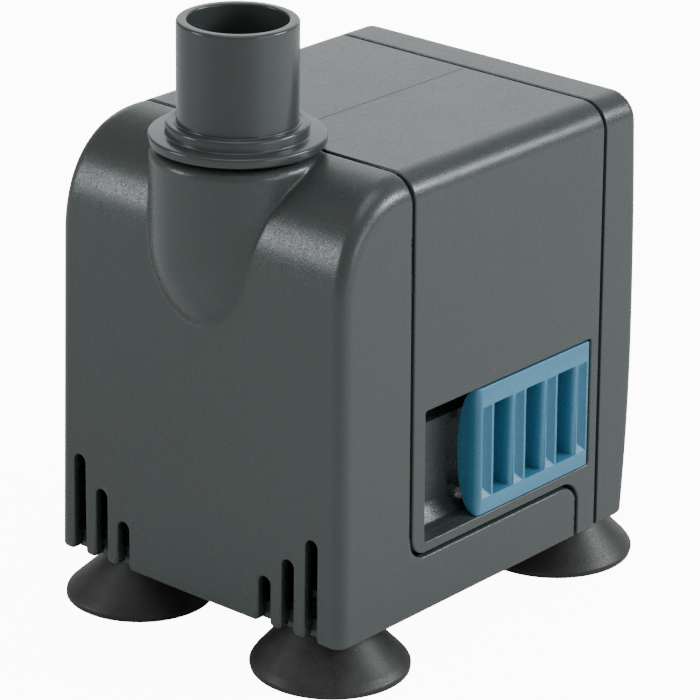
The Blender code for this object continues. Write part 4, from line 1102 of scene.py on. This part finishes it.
finishes["bobbin_plastic"] = moulded(
    "bobbin_plastic", (0.62, 0.58, 0.46), roughness=0.45, grain_size=0.15, depth=0.0040,
    contrast=0.06, cloud=6, wear_highlight_amount=0.20, scratch=0.30, dusty=0.05, glint=0.06,
)
finishes["resin"] = moulded(
    "resin", (0.030, 0.026, 0.022), roughness=0.22, grain_size=0.60, depth=0.0120,
    contrast=0.35, cloud=5, wear_highlight_amount=0.10, scratch=0.20, dusty=0.05, glint=0.06,
)
print(len(finishes), "moulded finishes")

# %% [markdown]
# The motor's metals and its winding use the stripes: enamelled copper wires side by side, and thin
# steel sheets stacked along the axis with dark gaps between them. The pins are plain tinned wire
# with drawing marks along them.

# %% Metals and winding
def striped(name, colour, groove_colour, roughness, metallic, pitch, across, waver, depth, **constants):
    """A ridged metal surface; depth is the ridges' height in mm, and they follow on along x (0) or y (1)."""
    material = bpy.data.materials.new(name)
    material.use_nodes = True
    tree = material.node_tree
    shader = tree.nodes["Principled BSDF"]
    ridges = use(tree, stripes, Pitch=pitch, Across=across, Waver=waver)
    flows = use(tree, flow, Cloud=2.0, Contrast=0.35)
    hairs = use(tree, scratches, Length=2.5, Cover=0.5)["Mask"]
    toned = add(tree, "VectorMath", {0: colour, "Scale": flows["Tone"]}, operation="SCALE").outputs["Vector"]
    lined = blend(tree, ridges["Groove"], toned, (*groove_colour, 1))
    tree.links.new(lined, shader.inputs["Base Color"])
    rough = maths(tree, "ADD", roughness, maths(tree, "MULTIPLY", flows["Gloss"], 0.2))
    rough = maths(tree, "ADD", rough, maths(tree, "MULTIPLY", hairs, 0.15))
    tree.links.new(rough, shader.inputs["Roughness"])
    bump = add(tree, "Bump", {"Height": ridges["Height"], "Strength": 1.0, "Distance": depth * MM})
    tree.links.new(bump.outputs["Normal"], shader.inputs["Normal"])
    shader.inputs["Metallic"].default_value = metallic
    for socket, value in constants.items():
        shader.inputs[socket.replace("_", " ")].default_value = value
    return material


finishes["winding_copper"] = striped(
    "winding_copper", (0.58, 0.20, 0.07), (0.10, 0.03, 0.015), roughness=0.28, metallic=0.85,
    pitch=0.22, across=0, waver=0.12, depth=0.08, Coat_Weight=0.6, Coat_Roughness=0.15,
)
finishes["core_steel"] = striped(
    "core_steel", (0.33, 0.33, 0.34), (0.05, 0.045, 0.04), roughness=0.40, metallic=0.9,
    pitch=0.5, across=1, waver=0.02, depth=0.03,
)
finishes["tinned_pin"] = striped(
    "tinned_pin", (0.70, 0.70, 0.68), (0.45, 0.45, 0.43), roughness=0.30, metallic=1.0,
    pitch=0.09, across=0, waver=0.05, depth=0.004,
)
print(sorted(finishes))

# %% [markdown]
# The floor is a matt white sheet. Rays from the camera see it with a light of its own, as an
# overexposed studio sheet looks, while the pump is lit only by what the sheet really sends back.

# %% Floor finish
sheet = bpy.data.materials.new("white_sheet")
sheet.use_nodes = True
tree = sheet.node_tree
shader = tree.nodes["Principled BSDF"]
place = add(tree, "TexCoord").outputs["Object"]
fibres = add(tree, "TexNoise", {"Vector": place, "Scale": 900.0, "Detail": 3.0}).outputs["Fac"]
seen = add(tree, "LightPath").outputs["Is Camera Ray"]
paper = blend(tree, fibres, (0.86, 0.86, 0.86, 1), (0.90, 0.90, 0.90, 1))
tree.links.new(paper, shader.inputs["Base Color"])
tree.links.new(maths(tree, "MULTIPLY", seen, 11.0), shader.inputs["Emission Strength"])
shader.inputs["Emission Color"].default_value = (1, 1, 1, 1)
shader.inputs["Roughness"].default_value = 0.8
shader.inputs["Specular IOR Level"].default_value = 0.1
bump = add(tree, "Bump", {"Height": fibres, "Strength": 0.2, "Distance": 0.05 * MM})
tree.links.new(bump.outputs["Normal"], shader.inputs["Normal"])
finishes["floor"] = sheet

# %% [markdown]
# ## Riding and finishes
#
# Each piece rides on the body of the CAD node it stands for and takes that node's material slot.

# %% Hand over
def hand_over(piece, body, slot, node):
    """Lets a piece ride on its body in place of a CAD node, and gives it the finish of its slot."""
    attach(piece, body)
    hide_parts(node)
    piece.data.materials.clear()
    piece.data.materials.append(finishes[slot])


for piece in (cover, cover_floor, cover_socket):
    hand_over(piece, "front", "body_plastic", "front_cover")
for piece in (housing, recess, foot, wall, pocket, well, housing_floor, mould_line):
    hand_over(piece, "housing", "body_plastic", "motor_housing")
for piece, body, slot, node in (
    (lid, "housing", "body_plastic", "rear_cover"),
    (nozzle, "outlet", "nozzle_plastic", "outlet_nozzle"),
    (slider, "slider", "slider_plastic", "flow_slider"),
    (slider_tabs, "slider", "slider_plastic", "flow_slider"),
    (cups["suction_cup_front_left"], "front", "cup_rubber", "suction_cup_front_left"),
    (cups["suction_cup_front_right"], "front", "cup_rubber", "suction_cup_front_right"),
    (cups["suction_cup_rear_left"], "housing", "cup_rubber", "suction_cup_rear_left"),
    (cups["suction_cup_rear_right"], "housing", "cup_rubber", "suction_cup_rear_right"),
    (gland, "housing", "seal_rubber", "cord_gland"),
    (impeller, "rotor", "impeller_plastic", "impeller"),
    (magnet, "rotor", "ferrite", "rotor_magnet"),
    (front_washer, "rotor", "ceramic", "front_thrust_washer"),
    (rear_washer, "rotor", "ceramic", "rear_thrust_washer"),
    (shaft, "housing", "ceramic", "rotor_shaft"),
    (front_bush, "front", "seal_rubber", "front_bush"),
    (rear_bush, "housing", "seal_rubber", "rear_bush"),
    (chamber_ring, "housing", "seal_rubber", "chamber_seal"),
    (nozzle_ring, "outlet_ring", "seal_rubber", "nozzle_seal"),
):
    hand_over(piece, body, slot, node)

cad_slots = {
    "volute_casing": "chamber_plastic",
    "stator_core": "core_steel",
    "coil_bobbin": "bobbin_plastic",
    "coil_winding": "winding_copper",
    "terminal_pin_left": "tinned_pin",
    "terminal_pin_right": "tinned_pin",
    "potting_resin": "resin",
}
for node, slot in cad_slots.items():
    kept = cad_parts[node]
    kept.data.materials.clear()
    kept.data.materials.append(finishes[slot])

# %% [markdown]
# ## Studio
#
# The pump stands on a white sheet in soft light, as small goods are shown in a catalogue. A small
# box on the left puts the glittering band on the curve of the front, and one behind on the right
# lights the top's long edge. A large wall behind gives the top its even sheen at a low angle, and
# two weak ones fill the side and the top. The lens is long, so that parallel edges stay nearly so.

# %% Floor, lights and camera
FLOOR_Z = DATUM[2] + (CUP_LOW - 0.03) * MM


def point(x, y, z):
    """A place given in millimetres from the body's datum, in metres."""
    return DATUM + np.array([x, y, z]) * MM


floor_mesh = bpy.data.meshes.new("floor")
floor_corners = [(x, y, FLOOR_Z) for x, y in ((-3, -3), (3, -3), (3, 3), (-3, 3))]
floor_mesh.from_pydata(floor_corners, [], [(0, 1, 2, 3)])
floor = bpy.data.objects.new("floor", floor_mesh)
bpy.context.scene.collection.objects.link(floor)
floor_mesh.materials.append(finishes["floor"])
floor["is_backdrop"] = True


def area_light(name, azimuth, elevation, distance, size, power, colour=(1, 1, 1)):
    """A soft box that faces the pump from this direction; azimuth 0 is in front of it and 90 to its right."""
    a, e = math.radians(azimuth), math.radians(elevation)
    away = Vector((math.sin(a) * math.cos(e), -math.cos(a) * math.cos(e), math.sin(e)))
    data = bpy.data.lights.new(name, "AREA")
    data.shape = "RECTANGLE"
    data.size, data.size_y = size
    data.energy = power
    data.color = colour
    lamp = bpy.data.objects.new(name, data)
    lamp.location = Vector(point(0, 24, 30)) + away * distance
    lamp.rotation_euler = away.to_track_quat("Z", "Y").to_euler()
    lamp.visible_camera = False
    bpy.context.scene.collection.objects.link(lamp)
    return lamp


COOL = (0.93, 0.98, 1.0)
area_light("left_softbox", -39, 17, 0.9, (0.27, 0.27), 2.1, COOL)
area_light("right_softbox", 129, 26, 0.9, (0.38, 0.22), 6.0, COOL)
area_light("side_fill", 92, 12, 0.9, (0.40, 0.30), 1.4, COOL)
area_light("back_wall", -145, 20, 1.2, (1.3, 0.8), 3.9, COOL)
area_light("top_softbox", 0, 88, 0.9, (0.6, 0.6), 2.2, COOL)

world = bpy.data.worlds.new("studio")
bpy.context.scene.world = world
world.use_nodes = True
tree = world.node_tree
seen = add(tree, "LightPath").outputs["Is Camera Ray"]
strength = spread(tree, seen, 0.0, 1.0, 0.39, 14.0)
tree.links.new(strength, tree.nodes["Background"].inputs["Strength"])
tree.nodes["Background"].inputs["Color"].default_value = (1, 1, 1, 1)

AZIMUTH, ELEVATION, ROLL = (math.radians(a) for a in (40.42, 21.83, 0.852))
level_part = math.cos(ELEVATION)
back = Vector((math.sin(AZIMUTH) * level_part, -math.cos(AZIMUTH) * level_part, math.sin(ELEVATION)))
level_right = Vector((math.cos(AZIMUTH), math.sin(AZIMUTH), 0))
level_up = back.cross(level_right)
right = level_right * math.cos(ROLL) + level_up * math.sin(ROLL)
up = back.cross(right)
camera_data = bpy.data.cameras.new("camera")
camera_data.lens = 205.1
camera_data.sensor_width = 36
camera_data.clip_start, camera_data.clip_end = 0.01, 10
camera = bpy.data.objects.new("camera", camera_data)
camera.location = point(267.1, -288.6, 186.3)
camera.rotation_euler = Matrix((right, up, back)).transposed().to_euler()
bpy.context.scene.collection.objects.link(camera)
bpy.context.scene.camera = camera
print("camera at", [round(c, 3) for c in camera.location])

# %% [markdown]
# The size of the finished model is noted next to the CAD model's own: the printed numbers say how
# far the finer shapes reach beyond the solids they stand for.

# %% Bounds
visual_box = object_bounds()
grown = [round(1000 * (b - a), 2) for corner in zip(cad_box, visual_box) for a, b in zip(*corner)]
print("visual box beyond the CAD box, in mm:", grown)
